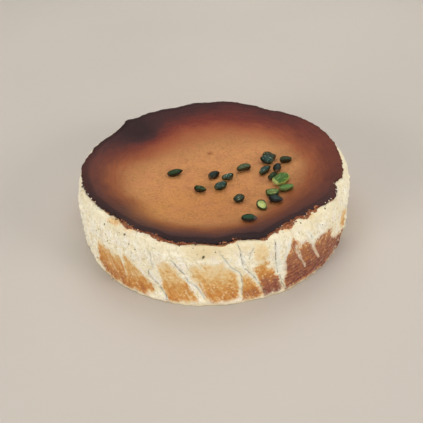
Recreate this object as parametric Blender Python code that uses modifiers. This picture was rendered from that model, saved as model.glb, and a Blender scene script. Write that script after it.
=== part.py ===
"""A whole pistachio Basque cheesecake, uncut: one baked cake and the pistachio kernels on its top.

Metres, +Z up. The origin is the centre of the footprint, on the flat base. Angles go round the
cake in degrees from +X, counter-clockwise seen from above, and the front is at 270 degrees.
"""

import math
import random

import bmesh
import bpy
import numpy as np
from mathutils import Euler, Matrix, Vector, noise
from mathutils.bvhtree import BVHTree

MM = 0.001

# The cake's section: a dished top, a rim, a thin overhanging crust and a nearly upright wall.
WALL_RADIUS = 120.3 * MM
BASE_RADIUS = 119.0 * MM
WALL_TAPER = 0.2 * MM
LOWER_EDGE = 4.0 * MM
RIM_HEIGHT = 58.9 * MM
RIM_RADIUS = 108.0 * MM
DISH_HEIGHT = 49.3 * MM
DISH_FLAT_RADIUS = 38.0 * MM
CRUST_RADIUS = 113.2 * MM
CRUST_HEIGHT = 58.0 * MM
CRUST_THICKNESS = 0.9 * MM
CRUST_UNDERCUT = 0.5 * MM
CRUST_BENDS = (0.35, 0.7, 1.0)
SHOULDER_HEIGHT = 42.0 * MM
LEDGE_HEIGHT = 56.7 * MM
LEDGE_WIDTH = 0.9 * MM

# How finely the plain cake is turned, and how many triangles its solid keeps.
TURN_STEPS = 320
TOP_RINGS = 20
RING_CROWDING = 0.85
SHOULDER_RINGS = 6
WALL_RINGS = 14
BASE_RINGS = 3
CAKE_TRIANGLES = 9400

# How far in from the crust's edge, and down the wall, the edge's lobes fade out.
EDGE_FADE_RADIUS = 84.0 * MM
# The crust's edge: where it reaches out or draws in, as (angle, spread, reach).
EDGE_LOBES = (
    (22, 16, 1.6 * MM),
    (57, 9, -2.2 * MM),
    (82, 6, 1.2 * MM),
    (96, 5, 1.4 * MM),
    (108, 4, -1.0 * MM),
    (123, 9, 1.0 * MM),
    (134.5, 3.5, 3.0 * MM),
    (147, 6, -1.0 * MM),
    (178, 10, 2.2 * MM),
    (225, 15, -6.0 * MM),
    (244, 5, -3.4 * MM),
    (256, 4, 1.6 * MM),
    (270.5, 4, 2.6 * MM),
    (278, 2.5, -2.2 * MM),
    (288, 3, 3.2 * MM),
    (298, 4, -2.4 * MM),
    (307, 9, -4.4 * MM),
    (326, 5, 2.8 * MM),
    (337.5, 3, -4.2 * MM),
    (358, 5, 0.8 * MM),
)
# How much of the crust's drawing in the wall below it follows, and where it draws in by itself.
EDGE_FOLLOW = 0.6
SHOULDER_LOBES = ((15, 12, -1.0 * MM), (189, 14, -1.8 * MM))
# The rim's height: its bumps and dips, in the same form.
RIM_LOBES = (
    (57, 9, -1.1 * MM),
    (82, 6, 0.5 * MM),
    (96, 5, 0.7 * MM),
    (123, 9, 0.5 * MM),
    (134.5, 4, 1.0 * MM),
    (147, 7, -1.2 * MM),
)
# The foot's outline, in the same form.
FOOT_LOBES = (
    (80, 50, 0.4 * MM),
    (208, 12, -0.4 * MM),
    (252, 28, 2.0 * MM),
    (298, 12, 1.2 * MM),
    (336, 14, -0.8 * MM),
)
FOOT_FADE_HEIGHT = 14.0 * MM

# The wall's creases and folds, left by the paper that it was baked in, as
# (top angle, top height, bottom angle, bottom height, bow in degrees, depth). A fold stands proud.
CREASES = (
    (245.0, 50 * MM, 246.0, 35 * MM, 0.0, 1.2 * MM),
    (243.5, 27 * MM, 251.0, 1 * MM, 0.8, 1.6 * MM),
    (253.5, 46 * MM, 265.0, 6 * MM, -0.5, 1.6 * MM),
    (270.3, 55 * MM, 277.2, 33 * MM, 0.0, 1.1 * MM),
    (277.8, 55 * MM, 278.5, 8 * MM, 0.3, 1.5 * MM),
    (279.4, 37 * MM, 287.6, 8 * MM, 0.2, 1.2 * MM),
    (283.7, 54 * MM, 281.2, 43 * MM, 0.0, 0.9 * MM),
    (291.6, 55 * MM, 296.0, 2 * MM, -1.4, 2.2 * MM),
    (299.3, 49 * MM, 296.9, 3 * MM, -1.6, 1.3 * MM),
    (256.9, 50 * MM, 264.5, 17 * MM, 0.2, -0.9 * MM),
    (216.7, 34 * MM, 228.7, 25 * MM, 0.0, -0.8 * MM),
    (229.0, 33 * MM, 233.6, 5 * MM, 0.3, -1.0 * MM),
    (214.6, 49 * MM, 214.8, 22 * MM, -1.0, -1.0 * MM),
    (300.4, 40 * MM, 306.1, 14 * MM, 0.0, -0.9 * MM),
    (307.5, 48 * MM, 314.2, 14 * MM, 0.3, -1.0 * MM),
    (324.3, 34 * MM, 324.9, 15 * MM, 0.0, -0.9 * MM),
)
CREASE_WIDTH = 1.6 * MM
# Round the back the creases follow a rule: one every few degrees, drawn with a seed.
BACK_START, BACK_END, BACK_SPACING = -12.0, 200.0, 11.0
BACK_SEED = 7

# The wall's own unevenness, as (size of the lumps, height of the lumps).
WALL_LUMPS = ((34 * MM, 0.9 * MM), (13 * MM, 0.7 * MM), (5.5 * MM, 0.45 * MM))
TOP_LUMPS = ((45 * MM, 0.35 * MM), (16 * MM, 0.15 * MM))
# The crust's torn edge.
CRUST_TEAR = ((9 * MM, 0.9 * MM), (3.6 * MM, 0.9 * MM))

# The kernels, as (x, y, length, width, thickness, heading, roll, bend, point). Heading is the way
# the narrow end looks, roll turns the kernel about its length, bend curves it like a bean, and
# point is how sharp its narrow end is.
KERNELS = (
    (-32.6, -6.3, 14.6, 6.8, 5.8, 18, 10, 0.4, 0.45),
    (-10.9, -33.7, 11.6, 7.0, 5.6, -28, -12, 0.5, 0.35),
    (1.4, -13.1, 12.2, 6.8, 5.4, 40, 15, -0.4, 0.15),
    (13.5, -17.4, 11.8, 7.2, 5.6, 32, -10, 0.6, 0.15),
    (6.8, -30.8, 13.4, 7.4, 5.8, 39, 12, 0.4, 0.20),
    (28.0, -5.2, 13.0, 7.6, 6.0, 201, 8, 0.3, 0.05),
    (21.0, -51.9, 11.2, 8.2, 6.2, 28, 0, 0.2, 0.30),
    (52.4, 12.0, 12.8, 8.4, 5.4, -40, 10, 0.5, 0.00),
    (49.6, 4.2, 13.2, 9.2, 5.6, 143, -22, 0.3, 0.20),
    (66.2, 2.5, 10.8, 6.6, 5.4, -4, 0, -0.5, 0.00),
    (46.2, -10.6, 14.4, 6.8, 5.6, 47, -14, -0.3, 0.10),
    (57.2, -9.8, 11.8, 7.4, 5.6, -104, 14, 0.3, 0.10),
    (52.2, -21.6, 11.2, 7.2, 5.2, 46, 10, 0.3, 0.10),
    (58.2, -29.2, 16.4, 10.6, 6.0, 40, 26, 0.2, 0.05),
    (60.9, -42.2, 12.4, 8.0, 5.6, 8, -8, 1.2, 0.05),
    (48.9, -47.2, 11.4, 8.0, 5.2, 6, 12, 0.3, 0.05),
    (50.2, -58.9, 13.0, 8.0, 6.0, -33, -8, 0.3, 0.45),
    (38.4, -65.2, 12.0, 8.8, 5.0, -72, 0, 0.2, 0.25),
    (26.5, -83.8, 13.0, 6.8, 5.4, -17, 12, 0.5, 0.45),
)
KERNEL_SEGMENTS = 10
KERNEL_RINGS = 9
# A kernel narrows a little all along, and its two halves meet in a shallow seam at its sides.
KERNEL_TAPER = 0.08
KERNEL_BEND = 0.35
SEAM_DEPTH = 0.12
SEAM_WIDTH = 0.35
# The kernel that lies as an open half, by its place in the list, and how high its cut face is.
HALF_KERNEL = 18
HALF_FACE = 0.25
# The gap left between a kernel and what it lies on, and the step above it where it is tried.
REST_GAP = 0.3 * MM
DROP_HEIGHT = 40 * MM

CAKE_COLOUR = (0.72, 0.45, 0.20)
CAKE_ROUGHNESS = 0.6
KERNEL_COLOUR = (0.13, 0.20, 0.03)
KERNEL_ROUGHNESS = 0.35


def smooth_step(start, end, value):
    """0 at the start, 1 at the end, and a smooth S between them."""
    share = min(max((value - start) / (end - start), 0.0), 1.0)
    return share * share * (3.0 - 2.0 * share)


def turn_between(first, second):
    """The smallest turn from the second angle to the first, in degrees."""
    return (first - second + 180.0) % 360.0 - 180.0


def lobes_at(lobes, angle):
    """The sum of bell-shaped lobes at this angle."""
    total = 0.0
    for centre, spread, reach in lobes:
        total += reach * math.exp(-((turn_between(angle, centre) / spread) ** 2))
    return total


def lumps_at(lumps, point):
    """Smooth noise of several sizes at a point in space."""
    total = 0.0
    for size, height in lumps:
        total += height * noise.noise(point / size)
    return total


def back_creases():
    """Creases and folds for the side that faces away, drawn by the rule above."""
    draw = random.Random(BACK_SEED)
    creases = []
    angle = BACK_START
    while angle < BACK_END:
        top_height = draw.uniform(36, 54) * MM
        bottom_height = draw.uniform(2, 16) * MM
        lean = draw.uniform(-6, 6)
        bow = draw.uniform(-1, 1)
        depth = draw.choice((1.3, 1.0, -0.9)) * MM
        creases.append((angle, top_height, angle + lean, bottom_height, bow, depth))
        angle += BACK_SPACING * draw.uniform(0.7, 1.3)
    return tuple(creases)


def crease_depth(creases, angle, height):
    """How deep the creases are at this place of the wall. Folds count as less than zero."""
    total = 0.0
    for top_angle, top_height, bottom_angle, bottom_height, bow, depth in creases:
        share = (top_height - height) / (top_height - bottom_height)
        fade = smooth_step(-0.15, 0.1, share) * smooth_step(1.15, 0.9, share)
        if fade == 0.0:
            continue
        middle = top_angle + (bottom_angle - top_angle) * share + bow * math.sin(math.pi * share)
        away = math.radians(turn_between(angle, middle)) * WALL_RADIUS
        total += fade * depth * math.exp(-((away / CREASE_WIDTH) ** 2))
    return total


def cake_profile():
    """The plain cake's half section, from the middle of the top down to the middle of the base."""
    points = []
    for ring in range(TOP_RINGS + 1):
        radius = RIM_RADIUS * (ring / TOP_RINGS) ** RING_CROWDING
        climb = max((radius - DISH_FLAT_RADIUS) / (RIM_RADIUS - DISH_FLAT_RADIUS), 0.0)
        points.append((radius, DISH_HEIGHT + (RIM_HEIGHT - DISH_HEIGHT) * climb**2))
    ledge_radius = CRUST_RADIUS + LEDGE_WIDTH
    for share in CRUST_BENDS:
        turn = math.pi / 2 * share
        radius = RIM_RADIUS + (CRUST_RADIUS - RIM_RADIUS) * math.sin(turn)
        points.append((radius, CRUST_HEIGHT + (RIM_HEIGHT - CRUST_HEIGHT) * math.cos(turn)))
    points.append((CRUST_RADIUS - CRUST_UNDERCUT, CRUST_HEIGHT - CRUST_THICKNESS))
    points.append((ledge_radius, LEDGE_HEIGHT))
    for ring in range(1, SHOULDER_RINGS + 1):
        turn = math.pi / 2 * ring / SHOULDER_RINGS
        radius = ledge_radius + (WALL_RADIUS - ledge_radius) * math.sin(turn)
        height = SHOULDER_HEIGHT + (LEDGE_HEIGHT - SHOULDER_HEIGHT) * math.cos(turn)
        points.append((radius, height))
    for ring in range(1, WALL_RINGS + 1):
        share = ring / WALL_RINGS
        height = SHOULDER_HEIGHT + (LOWER_EDGE - SHOULDER_HEIGHT) * share
        points.append((WALL_RADIUS - WALL_TAPER * share**2, height))
    points.append(((WALL_RADIUS + BASE_RADIUS) / 2, LOWER_EDGE / 3))
    points.append((BASE_RADIUS, 0.0))
    for ring in range(1, BASE_RINGS + 1):
        points.append((BASE_RADIUS * (1 - ring / BASE_RINGS), 0.0))
    return points


def move_top(point, angle, radius):
    """A point of the top: the crust's edge follows its lobes and is torn, and the dish undulates."""
    near_edge = smooth_step(EDGE_FADE_RADIUS, CRUST_RADIUS, radius)
    skin = smooth_step(CRUST_RADIUS - 4 * MM, CRUST_RADIUS - 1 * MM, radius)
    out = near_edge * lobes_at(EDGE_LOBES, angle) + skin * lumps_at(CRUST_TEAR, point)
    rise = near_edge * lobes_at(RIM_LOBES, angle) + lumps_at(TOP_LUMPS, point)
    return out, rise


def move_wall(point, angle, creases):
    """A point of the wall: it draws in below the crust, and has lumps, creases and a wider foot."""
    height = point.z
    near_edge = smooth_step(SHOULDER_HEIGHT - 8 * MM, LEDGE_HEIGHT, height)
    foot = smooth_step(FOOT_FADE_HEIGHT, 0.0, height)
    rough = smooth_step(LEDGE_HEIGHT, SHOULDER_HEIGHT + 6 * MM, height)
    out = near_edge * EDGE_FOLLOW * min(lobes_at(EDGE_LOBES, angle), 0.0)
    out += near_edge * lobes_at(SHOULDER_LOBES, angle) + foot * lobes_at(FOOT_LOBES, angle)
    out += rough * (lumps_at(WALL_LUMPS, point) - crease_depth(creases, angle, height))
    rise = smooth_step(SHOULDER_HEIGHT - 20 * MM, LEDGE_HEIGHT, height) * lobes_at(RIM_LOBES, angle)
    return out, rise


def shaped(point, creases):
    """Where a point of the plain turned cake goes on the real, uneven one."""
    radius = math.hypot(point.x, point.y)
    angle = math.degrees(math.atan2(point.y, point.x)) % 360.0
    if point.z > CRUST_HEIGHT - CRUST_THICKNESS / 2 or point.z > LOWER_EDGE and radius < RIM_RADIUS:
        out, rise = move_top(point, angle, radius)
    else:
        out, rise = move_wall(point, angle, creases)
        out *= smooth_step(0.0, BASE_RADIUS, radius)
    turn = math.radians(angle)
    out *= smooth_step(0.0, MM, radius)
    radius += out
    return Vector((radius * math.cos(turn), radius * math.sin(turn), point.z + rise))


def object_from(mesh, name, collection):
    """Put a mesh into the scene as a named object."""
    item = bpy.data.objects.new(name, mesh)
    collection.objects.link(item)
    return item


def freeze(item):
    """Replace an object's mesh by the one its modifiers make."""
    bpy.context.view_layer.update()
    graph = bpy.context.evaluated_depsgraph_get()
    mesh = bpy.data.meshes.new_from_object(item.evaluated_get(graph))
    item.modifiers.clear()
    item.data = mesh


def plain_cake(collection):
    """The plain cake: its half section turned about the upright axis."""
    profile = cake_profile()
    mesh = bpy.data.meshes.new("cheesecake")
    edges = [(index, index + 1) for index in range(len(profile) - 1)]
    mesh.from_pydata([(radius, 0.0, height) for radius, height in profile], edges, [])
    cake = object_from(mesh, "cheesecake", collection)
    turn = cake.modifiers.new("turn", "SCREW")
    turn.steps = TURN_STEPS
    turn.render_steps = TURN_STEPS
    turn.use_merge_vertices = True
    turn.merge_threshold = 0.00001
    turn.use_normal_calculate = True
    freeze(cake)
    return cake


def reduce_triangles(item, wanted):
    """Keep about this many triangles, the most where the surface bends most."""
    triangles = sum(len(face.vertices) - 2 for face in item.data.polygons)
    fewer = item.modifiers.new("fewer", "DECIMATE")
    fewer.ratio = wanted / triangles
    fewer.use_collapse_triangulate = True
    freeze(item)


def flatten_base(mesh):
    """Bring every point of the foot onto the flat face that the cake rests on."""
    for vertex in mesh.vertices:
        if vertex.co.z < 0.05 * MM:
            vertex.co.z = 0.0


def make_cake(collection):
    """The baked cake, one uncut solid."""
    cake = plain_cake(collection)
    creases = CREASES + back_creases()
    for vertex in cake.data.vertices:
        vertex.co = shaped(vertex.co.copy(), creases)
    reduce_triangles(cake, CAKE_TRIANGLES)
    flatten_base(cake.data)
    return cake


def kernel_mesh(length, width, thickness, bend, point, half):
    """One kernel along +X, with its narrow end ahead."""
    shape = bmesh.new()
    bmesh.ops.create_uvsphere(
        shape, u_segments=KERNEL_SEGMENTS, v_segments=KERNEL_RINGS, radius=1.0
    )
    bmesh.ops.rotate(shape, verts=shape.verts, matrix=Matrix.Rotation(math.pi / 2, 3, "Y"))
    for vertex in shape.verts:
        along, across, up = vertex.co
        narrow = 1.0 - KERNEL_TAPER * along - point * max(along, 0.0) ** 2
        around = math.atan2(up, across)
        seam = 1.0 - SEAM_DEPTH * math.exp(-((around / SEAM_WIDTH) ** 2)) * (1.0 - along**2)
        across = across * narrow * seam
        up = up * narrow
        if half:
            up = min(up, HALF_FACE)
        across += KERNEL_BEND * bend * (along**2 - 0.4)
        vertex.co = (along * length / 2, across * width / 2, up * thickness / 2)
    bmesh.ops.triangulate(shape, faces=shape.faces)
    mesh = bpy.data.meshes.new("kernel")
    shape.to_mesh(mesh)
    shape.free()
    return mesh


def tree_of(items):
    """The joined surface of these objects, for rays."""
    points = []
    faces = []
    for item in items:
        start = len(points)
        points += [item.matrix_world @ vertex.co for vertex in item.data.vertices]
        faces += [[start + index for index in face.vertices] for face in item.data.polygons]
    return BVHTree.FromPolygons(points, faces)


def drop_distance(kernel, below):
    """How far a kernel can come straight down before it meets what lies below it."""
    kernel_tree = tree_of([kernel])
    below_tree = tree_of(below)
    reach = DROP_HEIGHT * 2
    distances = []
    for vertex in kernel.data.vertices:
        hit = below_tree.ray_cast(kernel.matrix_world @ vertex.co, Vector((0, 0, -1)), reach)
        if hit[0] is not None:
            distances.append(hit[3])
    for item in below:
        for vertex in item.data.vertices:
            hit = kernel_tree.ray_cast(item.matrix_world @ vertex.co, Vector((0, 0, 1)), reach)
            if hit[0] is not None:
                distances.append(hit[3])
    return min(distances)


def make_kernel(number, sizes, below, collection):
    """One kernel, tilted to the dished top and lowered onto what lies below it."""
    x, y, length, width, thickness, heading, roll, bend, point = sizes
    half = number == HALF_KERNEL
    mesh = kernel_mesh(length * MM, width * MM, thickness * MM, bend, point, half)
    kernel = object_from(mesh, f"pistachio_{number:02d}", collection)
    place = Vector((x * MM, y * MM, RIM_HEIGHT + DROP_HEIGHT))
    normal = tree_of(below[:1]).ray_cast(place, Vector((0, 0, -1)))[1]
    stand = Vector((0, 0, 1)).rotation_difference(normal).to_matrix()
    turned = Euler((math.radians(roll), 0.0, math.radians(heading)), "XYZ")
    kernel.matrix_world = Matrix.LocRotScale(place, stand @ turned.to_matrix(), None)
    bpy.context.view_layer.update()
    drop = drop_distance(kernel, below) - REST_GAP
    mesh.transform(Matrix.Translation((0, 0, -drop)) @ kernel.matrix_world)
    kernel.matrix_world = Matrix.Identity(4)
    bpy.context.view_layer.update()
    return kernel


def surface_material(name, colour, roughness):
    """A plain surface of one colour."""
    material = bpy.data.materials.new(name)
    material.use_nodes = True
    surface = material.node_tree.nodes["Principled BSDF"]
    surface.inputs["Base Color"].default_value = (*colour, 1.0)
    surface.inputs["Roughness"].default_value = roughness
    surface.inputs["Metallic"].default_value = 0.0
    return material


def finish(item, material):
    """Give an object its material and its shading."""
    item.data.materials.clear()
    item.data.materials.append(material)
    bpy.context.view_layer.objects.active = item
    item.data.shade_smooth()
    item.data.set_sharp_from_angle(angle=math.radians(50))


def centre_on_footprint(items):
    """Move everything so that the origin is the centre of the footprint."""
    points = np.array([vertex.co for item in items for vertex in item.data.vertices])
    middle = (points.min(axis=0) + points.max(axis=0)) / 2
    for item in items:
        item.data.transform(Matrix.Translation((-middle[0], -middle[1], 0.0)))


def clear_scene():
    """Remove whatever the new scene came with."""
    for item in list(bpy.data.objects):
        bpy.data.objects.remove(item, do_unlink=True)


def main():
    clear_scene()
    collection = bpy.data.collections.new("pistachio_basque_cheesecake")
    bpy.context.scene.collection.children.link(collection)
    cake = make_cake(collection)
    kernels = []
    for number, sizes in enumerate(KERNELS, start=1):
        kernels.append(make_kernel(number, sizes, [cake] + kernels, collection))
    finish(cake, surface_material("baked_cake", CAKE_COLOUR, CAKE_ROUGHNESS))
    for kernel in kernels:
        finish(kernel, surface_material(kernel.name, KERNEL_COLOUR, KERNEL_ROUGHNESS))
    centre_on_footprint([cake] + kernels)


main()
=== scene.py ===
"""The finished look of a whole pistachio Basque cheesecake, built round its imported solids.

Metres, +Z up. The origin is the centre of the footprint, on the flat base. Angles go round the
cake in degrees from +X, counter-clockwise seen from above, and the front is at 270 degrees.
"""

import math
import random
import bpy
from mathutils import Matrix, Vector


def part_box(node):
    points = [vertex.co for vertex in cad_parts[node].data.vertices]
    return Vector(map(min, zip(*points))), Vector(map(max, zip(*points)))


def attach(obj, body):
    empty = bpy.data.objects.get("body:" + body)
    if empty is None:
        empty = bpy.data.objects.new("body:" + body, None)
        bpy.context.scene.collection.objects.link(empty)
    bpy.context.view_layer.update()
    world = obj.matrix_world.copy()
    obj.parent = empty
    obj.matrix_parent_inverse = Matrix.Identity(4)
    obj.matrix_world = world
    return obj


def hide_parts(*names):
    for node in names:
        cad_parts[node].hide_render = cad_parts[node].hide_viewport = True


bl_info = {
    "name": "Pistachio Basque Cheesecake",
    "version": (1, 0, 0),
    "blender": (4, 5, 0),
    "location": "3D View > Sidebar > Cheesecake",
    "description": "A whole baked cheesecake with pistachio kernels on its browned crust",
    "category": "Add Mesh",
}

import bmesh
import bpy
import numpy as np
from bpy.props import FloatProperty, FloatVectorProperty, IntProperty, PointerProperty
from mathutils import Euler, Matrix, Vector, noise
from mathutils.bvhtree import BVHTree

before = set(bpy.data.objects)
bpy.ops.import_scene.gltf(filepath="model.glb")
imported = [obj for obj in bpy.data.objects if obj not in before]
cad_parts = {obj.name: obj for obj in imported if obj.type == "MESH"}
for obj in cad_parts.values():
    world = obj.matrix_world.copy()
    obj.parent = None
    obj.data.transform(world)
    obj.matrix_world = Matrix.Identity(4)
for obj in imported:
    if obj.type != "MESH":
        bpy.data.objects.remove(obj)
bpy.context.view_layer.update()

MM = 0.001

# The cake's section, as its solid has it: a dished top, a rim, a thin overhanging crust and a
# nearly upright wall.
WALL_RADIUS = 120.3 * MM
BASE_RADIUS = 119.0 * MM
WALL_TAPER = 0.2 * MM
LOWER_EDGE = 4.0 * MM
RIM_HEIGHT = 58.9 * MM
RIM_RADIUS = 108.0 * MM
DISH_HEIGHT = 49.3 * MM
DISH_FLAT_RADIUS = 38.0 * MM
CRUST_RADIUS = 113.2 * MM
CRUST_HEIGHT = 58.0 * MM
SHOULDER_HEIGHT = 42.0 * MM
LEDGE_HEIGHT = 56.7 * MM
LEDGE_WIDTH = 0.9 * MM
# How far the solid was moved to put the middle of its footprint on the origin.
FOOTPRINT_SHIFT = (0.149 * MM, 0.042 * MM)

# How finely the surfaces are laid out: the points of a full turn, which are halved inside each
# of these radii in mm, and the rings of the wall, the shoulder and the crust's rounded edge.
TURN_STEPS = 1024
HALVING_RADII = (62, 30, 14, 6)
WALL_RINGS = 56
SHOULDER_RINGS = 22
EDGE_BENDS = 7
# The body's other rings: the base, the rounded foot and the ledge as (radius, height), and the
# top that the crust hides, all in mm.
BASE_RADII = (0, 8, 16, 34, 70, 100, 114)
FOOT_ROUNDING = ((118.2, 0.0), (119.0, 0.25), (119.3, 0.7), (119.65, 1.4), (119.9, 2.4))
LEDGE_RINGS = ((113.6, 56.85), (112.6, 56.95), (111.4, 57.0))
HIDDEN_RADII = (108, 104, 98, 90, 76, 61, 44, 29, 13, 5, 0)
# How far the hidden top lies below the crust's: at its outermost ring, and further in.
HIDDEN_EDGE_DEPTH = 1.3 * MM
HIDDEN_DEPTH = 0.95 * MM
# The crust's rings: on top as (up to this radius, spacing), under its edge as (way in from the
# edge, share of the thickness down), and the underside, all in mm.
CRUST_SPACING = ((30, 1.7), (84, 1.25), (108, 0.85))
UNDER_EDGE = ((-0.05, 0.35), (0.1, 0.7), (0.6, 1.0), (2.0, 1.05))
UNDERSIDE_RADII = (108, 100, 88, 74, 61, 44, 29, 13, 5, 0)

# Inside this radius the top keeps its plain round form.
EDGE_FADE_RADIUS = 84.0 * MM
# The crust's edge: where it reaches out or draws in, as (angle, spread, reach in mm).
EDGE_LOBES = (
    (22, 16, 1.6),
    (57, 9, -2.2),
    (82, 6, 1.2),
    (96, 5, 1.4),
    (108, 4, -1.0),
    (123, 9, 1.0),
    (134.5, 3.5, 3.0),
    (147, 6, -1.0),
    (178, 10, 2.2),
    (198, 5, -0.8),
    (211, 6, -1.4),
    (225, 15, -5.4),
    (244, 5, -2.8),
    (251, 3.5, 0.9),
    (256, 4, 0.7),
    (270.5, 4, 1.8),
    (278, 2.5, -2.2),
    (288, 3, 3.2),
    (298, 4, -1.6),
    (307, 9, -4.4),
    (309, 2.4, 2.2),
    (326, 5, 2.8),
    (336.6, 2.6, -3.6),
    (345, 5, 0.6),
    (358, 5, 0.8),
)
# How far the wall's shoulder draws in with the crust's edge, as a share, and where it draws in on
# its own.
EDGE_FOLLOW = 0.6
SHOULDER_LOBES = ((15, 12, -1.0), (189, 14, -1.8))
# The rim's height and the foot's outline, in the same form.
RIM_LOBES = (
    (57, 9, -1.1),
    (82, 6, 0.5),
    (96, 5, 0.7),
    (123, 9, 0.5),
    (134.5, 4, 1.0),
    (147, 7, -1.2),
)
FOOT_LOBES = (
    (80, 50, 0.4),
    (208, 12, -0.4),
    (252, 28, 2.0),
    (298, 12, 1.2),
    (336, 14, -0.8),
)
FOOT_FADE_HEIGHT = 14.0 * MM

# The unevenness that the solid has too, as (size of the lumps, height of the lumps) in mm.
WALL_LUMPS = ((34, 0.9), (13, 0.7), (5.5, 0.45))
TOP_LUMPS = ((45, 0.35), (16, 0.15))
CRUST_TEAR = ((9, 0.9), (3.6, 0.9))
# The finer unevenness that only shows close by: of the curd, the foot, the crust's skin and the
# crust's edge.
CURD_LUMPS = ((2.7, 0.28), (1.5, 0.2))
FOOT_LUMPS = ((6.0, 0.8), (2.4, 0.6))
SKIN_LUMPS = ((7.0, 0.09), (3.0, 0.05))
FINE_TEAR = ((1.9, 0.55), (1.1, 0.3))
TEETH = ((2.8, 1.9), (1.4, 0.9))
# The wall is crumbly between these angles, where its outline shows on the left and the right.
ROUGH_SIDES = ((193.0, 217.0), (330.0, 352.0))
SIDE_LUMPS = ((4.2, 1.7), (2.0, 0.8))
# Small pits in the curd: their size, how deep they can be, and the share of the noise that makes
# none.
CURD_PIT_SIZE = 2.2 * MM
CURD_PIT_DEPTH = 1.3 * MM
CURD_PIT_RARITY = 0.42
# Toast is this much lower than the curd round it, and keeps this share of the curd's relief.
TOAST_SINK = 0.25 * MM
TOAST_CURD = 0.35

# Creases that the baking paper pressed into the wall, as (depth, pale width to the left, pale
# width to the right, paleness, strength of the painted shadow in the crease, path). A fold stands
# proud and has less depth than zero.
# Widths and heights are in mm, and a path runs down the wall through (angle, height).
CREASES = (
    (0.6, 1.0, 1.5, 0.6, 0.55, ((244.8, 50), (245.2, 40), (245.7, 33))),
    (1.1, 0.6, 4.6, 1.0, 1.0, ((243.8, 31), (243.6, 26), (244.8, 22.5), (247.2, 15.5))),
    (1.1, 0.6, 1.4, 0.8, 1.0, ((247.2, 15.5), (249.5, 7.5), (251.1, 0))),
    (1.0, 0.8, 3.4, 0.9, 1.0, ((253.5, 46), (254.5, 42), (255.7, 37), (257.6, 31))),
    (1.0, 1.6, 2.6, 0.9, 0.7, ((257.6, 31), (259.4, 23.6), (261.1, 21), (263.0, 14), (265.0, 6.8))),
    (0.7, 2.0, 1.2, 0.7, 0.6,
     ((270.3, 56), (271.9, 49.5), (273.6, 43), (275.3, 37.2), (277.0, 34.0), (278.2, 30.5))),
    (1.2, 1.8, 2.2, 0.9, 1.0, ((277.5, 58), (278.5, 51), (278.9, 40), (279.4, 36))),
    (1.0, 1.2, 0.7, 0.6, 0.8, ((277.9, 32.5), (278.5, 28), (278.6, 20), (278.4, 7))),
    (1.0, 1.6, 1.6, 0.9, 0.9, ((279.4, 36.7), (281.3, 30.6), (283.6, 24), (285.6, 15))),
    (1.0, 0.5, 0.6, 0.4, 0.9, ((285.6, 15), (287.6, 6))),
    (0.6, 1.0, 1.0, 0.6, 0.6, ((283.7, 54), (282.2, 49.5), (281.2, 43))),
    (1.4, 1.6, 4.2, 1.0, 1.0, ((291.7, 57), (291.8, 41), (292.3, 31), (293.0, 21))),
    (1.2, 0.8, 1.3, 0.75, 1.0, ((293.0, 21), (294.4, 12), (295.9, 2.8))),
    (0.6, 3.6, 0.6, 0.9, 0.2, ((299.3, 49), (297.6, 42), (295.5, 32), (296.5, 25), (295.8, 14))),
    (0.4, 0.4, 0.6, 0.4, 0.35, ((256.9, 50), (258.4, 43), (260.1, 34), (261.6, 28))),
    (-0.6, 1.0, 1.0, 0.5, 0.0, ((262.9, 27), (264.5, 17), (266.5, 8))),
    (-0.7, 0.6, 0.6, 0.35, 0.0, ((216.7, 33.6), (221, 32), (225.4, 31), (228.7, 25.7))),
    (-0.9, 0.8, 0.7, 0.75, 0.0, ((230.4, 41), (231.4, 34), (232.0, 26), (232.6, 13))),
    (-1.0, 2.0, 2.0, 0.7, 0.0, ((214.6, 49), (213.3, 32), (214.8, 22))),
    (-0.8, 2.2, 2.1, 0.62, 0.0, ((300.4, 44), (302.0, 33), (303.8, 24), (305.6, 14))),
    (-0.9, 2.8, 2.6, 0.78, 0.0, ((307.0, 50), (308.1, 40), (310.1, 30), (312.4, 20), (313.8, 14))),
    (-0.8, 1.0, 1.0, 0.6, 0.0, ((324.3, 34), (325.1, 24), (324.9, 15.7))),
    (-0.7, 0.9, 0.8, 0.3, 0.0,
     ((303.6, 3.4), (308.4, 4.6), (313.2, 7.6), (317.8, 11.2), (321.0, 13.4))),
    (-0.7, 0.8, 0.7, 0.32, 0.0,
     ((327.5, 14.6), (323.0, 11.0), (318.6, 7.4), (314.0, 4.4), (309.5, 2.4))),
    (-0.8, 1.0, 0.8, 0.38, 0.0,
     ((333.0, 12.6), (328.4, 8.6), (323.5, 5.4), (318.6, 2.8), (314.0, 1.4))),
    (0.6, 1.5, 1.0, 0.7, 0.5, ((200.0, 50), (203.5, 36), (204.0, 22))),
    (-0.9, 1.6, 1.6, 0.7, 0.0, ((207.5, 46), (209.0, 34), (208.6, 20))),
    (0.6, 1.0, 1.6, 0.7, 0.5, ((333.5, 46), (336.4, 34), (337.0, 20))),
    (-0.8, 1.4, 1.4, 0.7, 0.0, ((341.6, 50), (343.0, 36), (342.4, 20))),
)
CREASE_WIDTH = 0.6 * MM
FOLD_WIDTH = 1.6 * CREASE_WIDTH
# Both fade out over this share of their length at each end.
CREASE_ENDS = 0.08
# How a crease strays from its path, as (size, reach) in mm.
CREASE_STRAY = ((9.0, 1.0), (3.2, 0.45))
# The wall steps up from the left of a crease to its right, and levels out within this width.
STEP_HEIGHT = 0.3 * MM
STEP_WIDTH = 5.0 * MM
STEP_SOFTNESS = 0.8 * MM
# How far a crease's dark shade reaches.
SHADE_REACH = 2.4 * MM
# Nothing shows of a crease or a patch further off than this, or this many degrees round the cake.
FAR_OFF = 8 * MM
FAR_ROUND = 9.0
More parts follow.
